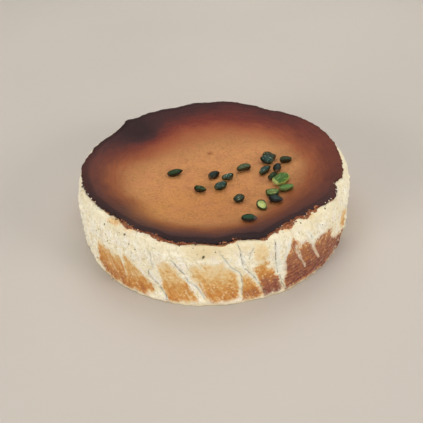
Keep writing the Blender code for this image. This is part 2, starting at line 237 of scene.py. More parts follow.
# How far the creases and streaks lean to the right on their way down, as (angle, sideways for
# each millimetre down).
LEAN = (
    (20, 0.1),
    (90, -0.2),
    (150, 0.2),
    (200, 0.3),
    (222, 0.5),
    (245, 0.55),
    (270, 0.6),
    (285, 0.5),
    (296, 0.15),
    (310, 0.4),
    (325, 0.15),
    (345, 0.2),
)
# Round the back the creases follow a rule: one every few degrees, drawn with a seed.
BACK_START, BACK_END, BACK_SPACING = -12.0, 194.0, 11.0
BACK_SEED = 7
# What such a crease and such a fold have between their depth and their path.
BACK_CREASE = (1.2, 3.2, 1.0, 0.9)
BACK_FOLD = (1.0, 1.0, 0.6, 0.0)

# Toasted patches, where the wall touched the hot tin, as (shade at the top, shade at the bottom,
# outline through (angle, height in mm)). Shade 0 is pale gold and shade 1 the deepest red-brown.
TOASTED = (
    (0.22, 0.74, (
        (215.3, 20), (217.3, 33.6), (220, 37), (222, 34), (225.4, 33.2), (228.6, 35.5), (231.4, 33),
        (232.0, 24), (232.6, 13), (233.4, 4), (228, 3), (223, 1.6), (219, 3), (215.6, 10),
    )),
    (0.16, 0.60, (
        (232.4, 35), (233.6, 36), (235.4, 34), (237.4, 30.0), (240, 25.5), (242.9, 18),
        (245.2, 10.4), (244.6, 6.0), (239, 4.0), (232.6, 3), (232.2, 12), (232.6, 23),
    )),
    (0.03, 0.56, (
        (249.2, 10), (248.0, 25), (247.8, 40), (250, 43), (252, 41), (254, 39), (255.6, 31),
        (257.4, 25), (258.8, 19), (260.8, 12), (262.2, 6.0), (258, 4.0), (253.2, 1.6), (250.6, 4),
    )),
    (0.0, 0.62, (
        (260.6, 43), (262, 43), (265, 41), (268, 43.5), (271, 43), (272.6, 40), (274.7, 36),
        (276.8, 32), (277.5, 25), (277.7, 8), (272, 4.4), (267, 4.8), (264.8, 8), (262.7, 17),
        (260.9, 26), (259.8, 34),
    )),
    (0.18, 0.72, (
        (278.4, 33), (281, 29), (283.2, 20.3), (287.3, 4.6), (283, 3.4), (278.5, 3.6),
    )),
    (0.26, 1.1, (
        (282.8, 35), (285.4, 37.5), (287.6, 38), (290.4, 29), (292.3, 19), (295.0, 6), (291.4, 4.4),
        (286.8, 4.4), (285.1, 15), (284.0, 24),
    )),
    (0.0, 0.0, (
        (283.6, 42), (284.0, 54), (287.6, 55), (289.0, 45), (287.8, 40),
    )),
    (0.66, 1.0, (
        (295.5, 31), (296.6, 39), (299.8, 51), (301, 45), (303.4, 40.5), (307.4, 38), (309.6, 34),
        (312.3, 34.5), (318.4, 35.5), (322.4, 34.3), (321.6, 27), (323.6, 20), (328, 17),
        (333, 15.5), (337.6, 11.5), (338, 0.8), (324, 0.4), (316, 1.0), (309, 1.6), (302.3, 2.0),
        (295.5, 2.2), (295.2, 12), (296.2, 21), (295.6, 26),
    )),
    (0.05, 0.42, (
        (329.4, 34), (333, 36), (337, 33), (341, 27), (343, 18), (339, 13.5), (333.6, 16),
        (330.6, 23),
    )),
)
# The patch that is crossed by fine level wrinkles, as (first angle, last angle, lowest, highest).
# Between the two heights of the fade they lessen to the top share.
WRINKLED = (294.0, 337.0, 3 * MM, 34 * MM)
WRINKLE_SPACING = 3.7 * MM
WRINKLE_HEIGHT = 0.3 * MM
WRINKLE_FADE = (15 * MM, 27 * MM)
WRINKLE_TOP_SHARE = 0.35
# Where that patch reaches down to the foot, as its middle angle and half of its spread.
DARK_FOOT = (321.0, 22.0)
# How ragged the patches' edges are upwards, as (size, reach) in mm, and the share sideways.
PATCH_RAGGED = ((7.0, 2.2), (2.4, 1.0))
RAGGED_SIDEWAYS = 0.4
# Heights count for this much, so that the toast fades more softly upwards than sideways.
UPWARD_SOFTNESS = 0.45
# The pale strip along the foot: all of it below the first height, and gone above the second.
STRIP_HEIGHTS = (1.4 * MM, 4.2 * MM)

# How the crust browns outwards, as (angle, radius where it starts, radius where it is half done,
# radius where it is nearly black, and the deepest browning reached at the edge) in mm.
BROWNING = (
    (0, 58, 86, 115, 0.76),
    (30, 46, 79, 104, 0.86),
    (60, 24, 73, 99, 1.02),
    (90, 8, 72, 101, 1.08),
    (120, 6, 65, 92, 1.22),
    (138, 12, 64, 89, 1.16),
    (155, 22, 68, 97, 1.04),
    (180, 38, 86, 110, 0.94),
    (208, 66, 87, 106, 1.10),
    (224, 56, 79.5, 100, 1.16),
    (232, 64, 85.5, 101, 1.2),
    (240, 72, 90, 103, 1.24),
    (270, 74, 93.5, 104.5, 1.34),
    (287, 67, 91.5, 105.5, 1.28),
    (302, 58, 84.5, 104, 1.26),
    (330, 54, 85, 111, 0.96),
)
# How softly the browning nears its deepest, and how wide its fine streaks round the rim are.
BROWNING_EASE = 0.12
STREAK_WIDTH = 2.3 * MM
# A scorched patch, the yellower ones and the deeper middle of the front, as (angle, radius,
# reach in mm, strength).
SCORCH = (137.0, 96.0, 14.5, 0.58)
HONEY = ((233.0, 72.0, 19.0, 0.7), (258.0, 44.0, 36.0, 0.35))
DEEPER = (272.0, 56.0, 44.0, 0.8)
# How ruddy the browning is: reddest at the back, as (angle, share).
RUDDY = (
    (0, 0.55), (45, 0.85), (90, 1.0), (140, 0.9), (180, 0.35), (225, 0.1), (270, 0.0), (320, 0.25),
)
# How much darker the very edge of the crust is, as (angle, share).
LIP = (
    (0, 0.1), (60, 0.2), (90, 0.4), (140, 0.5), (180, 0.6), (215, 0.9), (240, 1.0), (300, 1.0),
    (330, 0.5),
)
# A small sunken pit near the middle of the top, as (x, y, radius, depth) in mm, and how high its
# brim stands for that depth.
PIT = (-1.0, 27.5, 2.5, 0.8)
PIT_BRIM = 0.35

# The kernels, as the solids have them: (x, y, length, width, thickness, heading, roll, bend,
# point, colouring, share of bright streaks, which are painted highlights).
KERNELS = (
    (-32.6, -6.3, 14.6, 6.8, 5.8, 18, 10, 0.4, 0.45, "forest", 0.15),
    (-10.9, -33.7, 11.6, 7.0, 5.6, -28, -12, 0.5, 0.35, "forest", 0.45),
    (1.4, -13.1, 12.2, 6.8, 5.4, 40, 15, -0.4, 0.15, "black", 0.15),
    (13.5, -17.4, 11.8, 7.2, 5.6, 32, -10, 0.6, 0.15, "teal", 0.7),
    (6.8, -30.8, 13.4, 7.4, 5.8, 39, 12, 0.4, 0.20, "teal", 0.35),
    (28.0, -5.2, 13.0, 7.6, 6.0, 201, 8, 0.3, 0.05, "olive", 0.4),
    (21.0, -51.9, 10.2, 8.2, 6.2, 28, 0, 0.2, 0.25, "greyish", 0.7),
    (52.4, 12.0, 12.8, 8.4, 5.4, -40, 10, 0.5, 0.00, "mottled", 0.35),
    (49.6, 4.2, 13.2, 9.2, 5.6, 143, -22, 0.3, 0.20, "teal", 0.5),
    (66.2, 2.5, 10.8, 6.6, 5.4, -4, 0, -0.5, 0.00, "mottled", 0.1),
    (46.2, -10.6, 14.4, 6.8, 5.6, 47, -14, -0.3, 0.10, "teal", 0.5),
    (57.2, -9.8, 11.8, 7.4, 5.6, -104, 14, 0.3, 0.10, "black", 0.3),
    (52.2, -21.6, 11.2, 7.2, 5.2, 46, 10, 0.3, 0.10, "forest", 0.2),
    (58.2, -29.2, 16.4, 10.6, 6.0, 40, 26, 0.2, 0.05, "rimmed", 0.45),
    (60.9, -42.2, 12.4, 7.8, 5.6, 8, -8, 0.5, 0.05, "bright", 0.35),
    (48.9, -47.2, 11.4, 8.0, 5.2, 6, 12, 0.3, 0.05, "dappled", 0.6),
    (50.2, -58.9, 13.0, 8.0, 6.0, -33, -8, 0.3, 0.30, "inky", 0.2),
    (38.4, -65.2, 12.0, 8.2, 5.4, -72, 0, 0.2, 0.25, "split", 0.3),
    (26.5, -83.8, 13.0, 6.8, 5.4, -17, 12, -0.6, 0.45, "tailed", 0.2),
)
# Each colouring's flanks, darker skin with painted shade, upper side, painted lighter as if lit,
# bright streaks, which are painted highlights, and tips.
COLOURINGS = {
    "forest": ((0.010, 0.010, 0.004), (0.020, 0.042, 0.014), (0.085, 0.15, 0.055), (0.045, 0.026, 0.012)),
    "black": ((0.010, 0.008, 0.004), (0.012, 0.020, 0.015), (0.080, 0.072, 0.060), (0.110, 0.056, 0.024)),
    "teal": ((0.010, 0.013, 0.005), (0.022, 0.050, 0.041), (0.26, 0.34, 0.22), (0.065, 0.055, 0.018)),
    "olive": ((0.014, 0.013, 0.005), (0.060, 0.082, 0.036), (0.20, 0.19, 0.15), (0.075, 0.040, 0.014)),
    "mottled": ((0.014, 0.012, 0.005), (0.030, 0.040, 0.018), (0.27, 0.22, 0.12), (0.055, 0.034, 0.012)),
    "bright": ((0.024, 0.040, 0.008), (0.090, 0.180, 0.048), (0.34, 0.44, 0.16), (0.20, 0.23, 0.070)),
    "rimmed": ((0.230, 0.270, 0.052), (0.040, 0.108, 0.022), (0.20, 0.30, 0.09), (0.40, 0.44, 0.14)),
    "dappled": ((0.016, 0.024, 0.006), (0.120, 0.170, 0.045), (0.38, 0.42, 0.19), (0.028, 0.045, 0.012)),
    "tailed": ((0.008, 0.010, 0.005), (0.020, 0.056, 0.026), (0.070, 0.130, 0.060), (0.080, 0.050, 0.054)),
    "greyish": ((0.012, 0.013, 0.007), (0.038, 0.054, 0.032), (0.22, 0.24, 0.17), (0.030, 0.034, 0.018)),
    "inky": ((0.007, 0.009, 0.007), (0.016, 0.030, 0.026), (0.11, 0.12, 0.11), (0.035, 0.030, 0.030)),
    "split": ((0.022, 0.032, 0.005), (0.34, 0.42, 0.105), (0.48, 0.54, 0.19), (0.050, 0.045, 0.012)),
}
# How finely a kernel is laid out, and how its two ends differ from a plain egg's: they taper, bend
# to one side, and get blunt where the kernel has hardly any point.
KERNEL_SEGMENTS = 44
KERNEL_RINGS = 44
KERNEL_TAPER = 0.08
KERNEL_BEND = 0.35
BLUNT_BELOW = 0.1
KERNEL_BLUNTNESS = 0.2
# The seam along both sides, as its depth and width, and the lips beside it, as (angle from the
# seam in radians, width, how far they stand out to the side, how far upwards).
SEAM_DEPTH = 0.12
SEAM_WIDTH = 0.28
SEAM_LIPS = (0.42, 0.2, 0.03, 0.02)
DENT_DEPTH = 0.42 * MM
# The way that a kernel's greener side faces. That side is painted lighter as if lit, and the
# sides away from it darker as painted shade.
LIT_FACE_DIRECTION = (0.0, -0.34, 0.94)
GREEN_KERNELS = (14, 15, 16, 18)
# The split kernel: the height of its cut face, the hollow along that face as (depth, half width),
# and how far its nearer end dips in degrees.
HALF_KERNEL = 18
HALF_FACE = 0.25
HALF_HOLLOW = (0.16, 0.16)
HALF_PITCH = 15.0
# The kernel whose pointed end is discoloured.
TAILED_KERNEL = 19

# Stretches of the crust's edge that are torn and crumbly, as (first angle, last angle).
TORN = ((227.0, 263.0), (286.0, 318.0))
# Stretches where it is jagged, but not crumbly.
JAGGED = ((190.0, 232.0), (303.0, 354.0))
# Stretches where bits of pale curd stick to it.
CURDY = ((192.0, 216.0), (228.0, 238.0), (296.0, 312.0), (318.0, 352.0))
# How softly a stretch ends, in degrees.
STRETCH_FADE = 5.0
# The share of the crumbs that lie evenly along the torn stretches, the sizes of crumbs as shares
# of a middling one's, and the size of bits of pale curd as a share of a crumb's.
EVEN_CRUMBS = 0.22
CRUMB_SIZES = (0.6, 0.9, 1.1, 1.4, 2.0)
CURD_SIZE = 0.62
# The seeds for what is strewn by chance.
CRUMB_SEED, FLAKE_SEED, SPECK_SEED = 31, 5, 12
# Where it is torn the deepest, as (angle, spread, reach in mm).
TORN_SPOTS = (
    (231.0, 3.4, 2.2),
    (246.2, 3.0, 2.4),
    (256.5, 2.2, 0.9),
    (272.8, 2.0, 0.8),
    (277.0, 1.6, 1.2),
    (294.2, 0.9, 2.0),
    (300.0, 2.8, 3.8),
    (309.0, 2.8, 1.9),
    (314.4, 1.0, 1.8),
)
# Where the ledge under the crust is golden, as (angle, spread, strength).
GOLDEN = (
    (205.0, 4.0, 0.4),
    (224.5, 5.0, 0.85),
    (234.0, 4.0, 0.6),
    (247.0, 4.0, 0.5),
    (262.0, 5.0, 0.35),
    (299.0, 4.0, 0.8),
    (311.0, 4.0, 0.7),
    (324.0, 4.0, 0.35),
)
# Where the shoulder under the crust is butter-yellow and darker with painted shade under its
# overhang, in the same form.
BUTTERY_AND_SHADED = ((266.0, 9.0, 1.0), (281.0, 6.0, 0.55), (310.0, 7.0, 0.4))
# Flakes of cake at the foot of the wall, as (angle, height, reach, length, thickness) in mm.
FLAKES = (
    (223.2, 2.2, 1.4, 3.4, 0.8),
    (224.8, 1.0, 0.9, 2.6, 0.9),
    (222.0, 5.0, 0.5, 2.6, 0.7),
    (219.0, 7.0, 0.9, 2.4, 0.7),
    (216.6, 9.6, 0.8, 2.6, 0.8),
    (214.6, 13.0, 0.7, 2.4, 0.8),
    (249.6, 0.9, 0.5, 2.2, 0.9),
    (251.8, 0.8, 0.6, 1.8, 0.8),
    (306.4, 1.4, 0.8, 3.2, 0.8),
    (310.8, 2.0, 0.7, 2.6, 0.8),
    (314.6, 3.0, 0.6, 2.8, 0.6),
    (320.6, 2.6, 1.0, 3.4, 0.8),
    (324.4, 4.0, 1.1, 3.0, 0.7),
    (327.6, 5.6, 1.0, 2.6, 0.8),
    (330.6, 8.2, 0.8, 2.6, 0.7),
)
# Dark specks of pistachio in the wall, as (angle, height in mm, size in mm).
SPECKS = (
    (220.8, 52.5, 1.5),
    (224.5, 57.0, 1.3),
    (232.6, 53.8, 1.7),
    (235.5, 48.8, 1.0),
    (238.5, 46.5, 1.0),
    (265.1, 49.8, 1.8),
    (305.1, 56.0, 1.1),
    (318.6, 56.0, 1.2),
)

# Finer tints of the pale side, of its golden stains and of the raw strip under the torn edge.
PRICK_BROWN = (0.42, 0.35, 0.20)
# The hole tint is painted shade in small pits.
HOLE_SHADE = (0.28, 0.21, 0.10)
# The darker butter-yellow is partly painted shade under the crust's overhang.
BUTTER_SHADE_YELLOW = (0.72, 0.575, 0.325)
STRIP_CREAM = (0.80, 0.67, 0.42)
STAIN_BROWN, STAIN_GOLD = (0.58, 0.245, 0.05), (0.80, 0.51, 0.17)
RAW_DARK, RAW_BRIGHT = (0.16, 0.032, 0.016), (0.60, 0.235, 0.075)
# Finer tints of the toast, from the palest to the darkest, and of the flecks in it, which are
# partly painted glints.
STRAW = (0.82, 0.64, 0.36)
SAND = (0.75, 0.50, 0.215)
GINGER = (0.59, 0.25, 0.052)
RUSSET = (0.37, 0.140, 0.066)
CHESTNUT = (0.275, 0.088, 0.048)
FLECK_AND_GLINT = (0.84, 0.64, 0.36)
# Finer tints of the crust: its less ruddy browning, whose greyer, bluer darks are partly a painted
# sheen, and what lies over it.
PLAIN_AMBER = (0.27, 0.091, 0.034)
PLAIN_BROWN = (0.142, 0.050, 0.030)
PLAIN_CHAR_AND_SHEEN = (0.072, 0.034, 0.034)
PLAIN_BLACK_AND_SHEEN = (0.023, 0.008, 0.011)
HONEY_TINT = (0.585, 0.27, 0.075)
DEEPER_TINT = (0.90, 0.82, 0.73)
FRECKLE = (0.36, 0.13, 0.052)
ROSY = (0.49, 0.195, 0.085)
TORN_DARK, TORN_BRIGHT = (0.20, 0.05, 0.025), (0.40, 0.13, 0.05)
# The loose bits, as (darker shade, lighter shade, roughness, size of the blotches).
TORN_CRUMB = ((0.085, 0.020, 0.014), (0.50, 0.17, 0.055), 0.5, 2.4 * MM)
CURD_CRUMB = ((0.80, 0.58, 0.30), (0.90, 0.84, 0.68), 0.55, 2.4 * MM)
FOOT_FLAKE = ((0.55, 0.38, 0.22), (0.82, 0.70, 0.50), 0.55, 1.4 * MM)
SPECK = ((0.05, 0.045, 0.02), (0.16, 0.15, 0.05), 0.45, 1.4 * MM)

# The floor in metres: it lies flat out to the last of these radii, and then curves up.
FLOOR_RADII = (0.15, 0.4, 0.8, 1.5, 2.6, 4.0)
FLOOR_CURVE = 2.0
FLOOR_STEPS = 16
FLOOR_SEGMENTS = 96
FLOOR_TOP = 3.5
# The lights, as (name, setting for its power, size, place, aim, colour, width of the beam in
# degrees). The front ones have narrow beams, to leave the far floor even.
LIGHTS = (
    ("top_light", "top_power", 6.0, (0.15, 1.0, 4.2), (0.15, 1.0, 0.0), (1.0, 0.99, 0.985), 180),
    ("left_light", "front_power", 1.2, (-2.2, -1.87, 0.99), (0, 0, 0.03), (1.0, 0.98, 0.95), 60),
    ("right_light", "front_power", 1.2, (2.38, -1.54, 0.99), (0, 0, 0.03), (1.0, 0.98, 0.95), 60),
    ("back_light", "back_power", 1.2, (0.1, 1.0, 1.2), (0.0, 0.55, 0.0), (1.0, 0.985, 0.96), 180),
)
ROOM_COLOUR = (1.0, 0.985, 0.965, 1.0)
# The camera's place and direction, at the photograph's angle.
CAMERA_ROWS = (
    (0.99829, 0.05831, 0.00459, 0.0),
    (-0.03133, 0.59935, -0.79987, -0.45186),
    (-0.04939, 0.79836, 0.60015, 0.3413),
    (0.0, 0.0, 0.0, 1.0),
)
CAMERA_LENS = 51.064
CAMERA_SENSOR = 36.0


# ---- Sizes and colours that a user would change ----------------------------------------------


def colour_setting(name, description, default):
    """A colour that shows as a swatch in the sidebar."""
    return FloatVectorProperty(
        name=name, description=description, default=default, size=3, min=0, max=1, subtype="COLOR"
    )


def share_setting(name, description, default):
    """A plain factor."""
    return FloatProperty(name=name, description=description, default=default, min=0, max=2)


def length_setting(name, description, default):
    """A length in metres."""
    return FloatProperty(
        name=name, description=description, default=default, min=0, precision=5, unit="LENGTH"
    )


def count_setting(name, description, default):
    """A number of loose bits."""
    return IntProperty(name=name, description=description, default=default, min=0)


def power_setting(name, description, default):
    """The power of a light in watts."""
    return FloatProperty(name=name, description=description, default=default, min=0, unit="POWER")


class CakeSettings(bpy.types.PropertyGroup):
    """The baked body and its browned crust."""

    crease_depth: share_setting("Crease depth", "How deep the creases and folds are", 1.0)
    curd_height: share_setting("Curd height", "How rough the pale side of the cake is", 1.0)
    tear_depth: share_setting("Tear depth", "How ragged the edge of the crust is", 1.0)
    crust_thickness: length_setting("Crust thickness", "Thickness of the crust", 0.9 * MM)
    cream: colour_setting("Cream", "The pale side of the cake", (0.91, 0.84, 0.63))
    curd_white: colour_setting("Curd white", "The whitest curd", (0.94, 0.905, 0.79))
    butter: colour_setting("Butter", "The yellow blotches", (0.89, 0.785, 0.52))
    blush: colour_setting("Blush", "The pinkish blotches", (0.91, 0.81, 0.73))
    # This grey is painted cool shade on one side of the folds.
    fold_shade: colour_setting("Fold grey", "The greyish side of the folds", (0.76, 0.77, 0.67))
    fold_beige: colour_setting("Fold beige", "The folds in the darkest toast", (0.80, 0.56, 0.33))
    crease_shade: colour_setting("Crease shade", "The shade beside a crease", (0.38, 0.32, 0.19))
    gold: colour_setting("Gold", "Lightly toasted side", (0.67, 0.355, 0.105))
    toast: colour_setting("Toast", "Toasted side", (0.46, 0.172, 0.042))
    deep_toast: colour_setting("Deep toast", "The darkest toasted side", (0.185, 0.052, 0.032))
    caramel: colour_setting("Caramel", "The middle of the crust", (0.56, 0.253, 0.093))
    amber: colour_setting("Amber", "The crust where it starts to brown", (0.30, 0.076, 0.029))
    mahogany: colour_setting("Mahogany", "The reddest part of the crust", (0.155, 0.023, 0.013))
    char: colour_setting("Char", "The darkest part of the crust", (0.046, 0.010, 0.010))


class KernelSettings(bpy.types.PropertyGroup):
    """The pistachio kernels."""

    wrinkle_depth: length_setting("Wrinkle depth", "Depth of the lengthwise wrinkles", 0.16 * MM)
    settle: length_setting("Settle", "How far a kernel sinks to touch the crust", 0.25 * MM)


class CrumbSettings(bpy.types.PropertyGroup):
    """The crumbs, flakes and specks."""

    crumb_count: count_setting("Crumbs", "Crumbs on the torn edge", 240)
    curd_count: count_setting("Curd bits", "Pale bits on the jagged edge", 90)
    speck_count: count_setting("Specks", "Small specks in the wall", 210)
    crumb_size: length_setting("Crumb size", "Size of a middling crumb", 0.9 * MM)


class StageSettings(bpy.types.PropertyGroup):
    """The floor and the light."""

    floor: colour_setting("Floor", "Colour of the plain floor", (0.525, 0.48, 0.43))
    top_power: power_setting("Top light", "Power of the light above", 106.0)
    front_power: power_setting("Front light", "Power of each front light", 5.8)
    back_power: power_setting("Back light", "Power of the light behind", 4.5)
    room_light: share_setting("Room light", "Strength of the light from all round", 0.4)


# ---- Numbers ---------------------------------------------------------------------------------


def smooth_step(start, end, value):
    """0 at the start, 1 at the end, and a smooth S between them."""
    share = np.clip((np.asarray(value, float) - start) / (end - start), 0.0, 1.0)
    return share * share * (3.0 - 2.0 * share)


def turn_between(first, second):
    """The smallest turn from the second angle to the first, in degrees."""
    return (first - second + 180.0) % 360.0 - 180.0


def lobes_at(lobes, angle):
    """The sum of bell-shaped lobes at these angles, in metres."""
    total = np.zeros_like(angle)
    for centre, spread, reach in lobes:
        total += reach * MM * np.exp(-((turn_between(angle, centre) / spread) ** 2))
    return total


def noise_at(points, size):
    """Smooth noise, from about -1 to 1, whose lumps are about this size."""
    return np.array([noise.noise(place) for place in (points / size).tolist()])


def lumps_at(lumps, points):
    """Smooth noise of several sizes at points in space, in metres."""
    total = np.zeros(len(points))
    for size, height in lumps:
        total += height * MM * noise_at(points, size * MM)
    return total


def round_the_cake(table, angle):
    """Values of a table of (angle, value, ...) at these angles, joined smoothly all round."""
    rows = np.array(table, float)
    angles = np.r_[rows[-1, 0] - 360.0, rows[:, 0], rows[0, 0] + 360.0]
    found = []
    for column in rows.T[1:]:
        values = np.r_[column[-1], column, column[0]]
        spread = [np.interp((angle + offset) % 360.0, angles, values) for offset in (-6, -2, 2, 6)]
        found.append(sum(spread) / 4)
    return found if len(found) > 1 else found[0]


def flattened(corners):
    """Corners of (angle, height in mm) as places on the unrolled wall in metres, from the first."""
    first = corners[0][0]
    return [(math.radians(turn - first) * WALL_RADIUS, rise * MM) for turn, rise in corners]


def to_stretch(one, two, along, height):
    """How far places on the unrolled wall are from a straight stretch, how far to its right, and
    how much of the way along it they are."""
    step = (two[0] - one[0], two[1] - one[1])
    length = math.hypot(*step)
    share = ((along - one[0]) * step[0] + (height - one[1]) * step[1]) / length**2
    share = np.clip(share, 0.0, 1.0)
    away = np.hypot(along - one[0] - share * step[0], height - one[1] - share * step[1])
    right = ((along - one[0]) * -step[1] + (height - one[1]) * step[0]) / length
    return away, right, share


def path_distance(path, angle, height):
    """For points of the wall, how far they are from a path on it and how far to the path's right,
    and how much of the way down the path they are."""
    along = np.radians(turn_between(angle, path[0][0])) * WALL_RADIUS
    stops = flattened(path)
    nearest = np.full(len(angle), np.inf)
    right, share = np.zeros((2, len(angle)))
    for index, (one, two) in enumerate(zip(stops, stops[1:])):
        away, side, held = to_stretch(one, two, along, height)
        closer = away < nearest
        nearest = np.where(closer, away, nearest)
        right = np.where(closer, side, right)
        share = np.where(closer, (index + held) / (len(stops) - 1), share)
    return nearest, right, share


def depth_inside(outline, angle, height):
    """How far points of the wall are inside an outline on it, in metres. Outside is below zero."""
    along = np.radians(turn_between(angle, outline[0][0])) * WALL_RADIUS
    corners = flattened(outline)
    nearest = np.full(len(angle), np.inf)
    inside = np.zeros(len(angle), bool)
    for one, two in zip(corners, corners[1:] + corners[:1]):
        nearest = np.minimum(nearest, to_stretch(one, two, along, height)[0])
        if one[1] != two[1]:
            crosses = (one[1] > height) != (two[1] > height)
            reach = one[0] + (height - one[1]) / (two[1] - one[1]) * (two[0] - one[0])
            inside ^= crosses & (along < reach)
    return np.where(inside, nearest, -nearest)


def near_turns(angle, turns):
    """Which points lie between these angles, or near enough to them to matter."""
    middle, half = (min(turns) + max(turns)) / 2, (max(turns) - min(turns)) / 2
    return np.abs(turn_between(angle, middle)) < half + FAR_ROUND


def stretch_share(angle, stretches):
    """1 inside these stretches round the cake, and 0 elsewhere, with soft ends."""
    share = np.zeros_like(angle)
    for first, last in stretches:
        off = np.abs(turn_between(angle, (first + last) / 2))
        half = (last - first) / 2
        share = np.maximum(share, smooth_step(half + STRETCH_FADE, half - STRETCH_FADE, off))
    return share


# ---- Surfaces --------------------------------------------------------------------------------


def turned_surface(rings):
    """Points and faces of a surface turned through rings of (radius, height, count). A ring's
    count is that of the last one, or twice it, or half of it, or 1 for a single point."""
    points, starts, faces = [], [], []
    for radius, height, count in rings:
        starts.append(len(points))
        turns = np.arange(count) * (2 * math.pi / count)
        ring = (radius * np.cos(turns), radius * np.sin(turns), np.full(count, float(height)))
        points += np.stack(ring, 1).tolist()
    for first, second, one, two in zip(starts, starts[1:], rings, rings[1:]):
        faces += joined_rings(first, one[2], second, two[2])
    return np.array(points), faces


def joined_rings(first, count, second, other):
    """Faces between two rings of points."""
    if count == other:
        return [
            (first + i, first + (i + 1) % count, second + (i + 1) % count, second + i)
            for i in range(count)
        ]
    if count == 1:
        return [(first, second + (i + 1) % other, second + i) for i in range(other)]
    if other == 1:
        return [(first + i, first + (i + 1) % count, second) for i in range(count)]
    faces = []
    if count == 2 * other:
        for i in range(other):
            a, b, c = first + 2 * i, first + 2 * i + 1, first + (2 * i + 2) % count
            d, e = second + i, second + (i + 1) % other
            faces += [(a, b, d), (b, e, d), (b, c, e)]
        return faces
    for i in range(count):
        a, b = first + i, first + (i + 1) % count
        c, d, e = second + 2 * i, second + 2 * i + 1, second + (2 * i + 2) % other
        faces += [(a, d, c), (a, b, d), (b, e, d)]
    return faces


def mesh_object(name, points, faces, values=None):
    """A smooth mesh object, with each named value or place kept at its points for the material."""
    mesh = bpy.data.meshes.new(name)
    mesh.from_pydata(np.asarray(points).tolist(), [], faces)
    for label, numbers in (values or {}).items():
        numbers = np.asarray(numbers, np.float32)
        kind, part = ("FLOAT_VECTOR", "vector") if numbers.ndim == 2 else ("FLOAT", "value")
        mesh.attributes.new(label, kind, "POINT").data.foreach_set(part, numbers.ravel())
    mesh.validate()
    mesh.shade_smooth()
    item = bpy.data.objects.new(name, mesh)
    bpy.context.scene.collection.objects.link(item)
    return item


def dish_height(radius):
    """The height of the plain dished top at this radius."""
    climb = np.maximum((radius - DISH_FLAT_RADIUS) / (RIM_RADIUS - DISH_FLAT_RADIUS), 0.0)
    return DISH_HEIGHT + (RIM_HEIGHT - DISH_HEIGHT) * climb**2


def outward(angle):
    """The level direction out from the cake's axis."""
    return Vector((math.cos(math.radians(angle)), math.sin(math.radians(angle)), 0.0))


def fewer_inside(radius):
    """How many points a ring of this radius gets."""
    if radius <= 0:
        return 1
    return TURN_STEPS >> sum(radius < limit * MM for limit in HALVING_RADII)


def moved(points, angle, radius, out, rise):
    """Points moved outwards and upwards, and then onto the footprint's centre."""
    turn = np.radians(angle)
    reach = radius + out * smooth_step(0.0, MM, radius)
    across = reach * np.cos(turn) + FOOTPRINT_SHIFT[0]
    along = reach * np.sin(turn) + FOOTPRINT_SHIFT[1]
    return np.stack([across, along, points[:, 2] + rise], 1)


def polar(points):
    """The angle in degrees and the radius of each point."""
    angle = np.degrees(np.arctan2(points[:, 1], points[:, 0])) % 360.0
    return angle, np.hypot(points[:, 0], points[:, 1])


# ---- The baked body --------------------------------------------------------------------------


def back_creases():
    """Creases and folds for the side that faces away, drawn by the rule above."""
    draw = random.Random(BACK_SEED)
    creases = []
    angle = BACK_START
    while angle < BACK_END:
        top, bottom = draw.uniform(36, 54), draw.uniform(2, 16)
        lean = 4 * math.sin(math.radians(angle * 3)) + draw.uniform(-1.5, 1.5)
        bow = draw.uniform(-1, 1)
        depth = draw.choice((1.3, 1.0, -0.9))
        path = tuple(
            (angle + lean * share + bow * math.sin(math.pi * share), top + (bottom - top) * share)
            for share in (0.0, 0.25, 0.5, 0.75, 1.0)
        )
        creases.append((depth, *(BACK_CREASE if depth > 0 else BACK_FOLD), path))
        angle += BACK_SPACING * draw.uniform(0.7, 1.3)
    return tuple(creases)


def back_patches():
    """Toasted patches for the side that faces away, one between each crease and the next. Their
    shade and their height change slowly round the cake."""
    draw = random.Random(BACK_SEED + 1)
    patches = []
    creases = back_creases()
    for one, two in zip(creases, creases[1:]):
        left, right = one[5], two[5]
        turn = math.radians((left[2][0] + right[2][0]) / 2)
        place = Vector((2.4 * math.cos(turn), 2.4 * math.sin(turn), 0.0))
        shade = min(max(0.16 + 0.7 * noise.noise(place), 0.0), 0.6)
        reach = 33 + 13 * noise.noise(place + Vector((0, 0, 5)))
        slope = draw.uniform(-5, 5)
        top = (reach + slope, reach + draw.uniform(-2, 4), reach - slope)
        foot = [draw.uniform(2, 5) for _ in range(2)]
        inset = draw.uniform(0.3, 0.9)
        outline = (
            (left[0][0] + inset, top[0]),
            ((left[0][0] + right[0][0]) / 2, top[1]),
            (right[0][0] - inset, top[2]),
            (right[2][0] - 0.5, (top[2] + foot[1]) / 2),
            (right[4][0] - inset, foot[1]),
            (left[4][0] + inset, foot[0]),
            (left[2][0] + 0.5, (top[0] + foot[0]) / 2),
        )
        patches.append((shade, shade + draw.uniform(0.4, 0.55), outline))
    return tuple(patches)


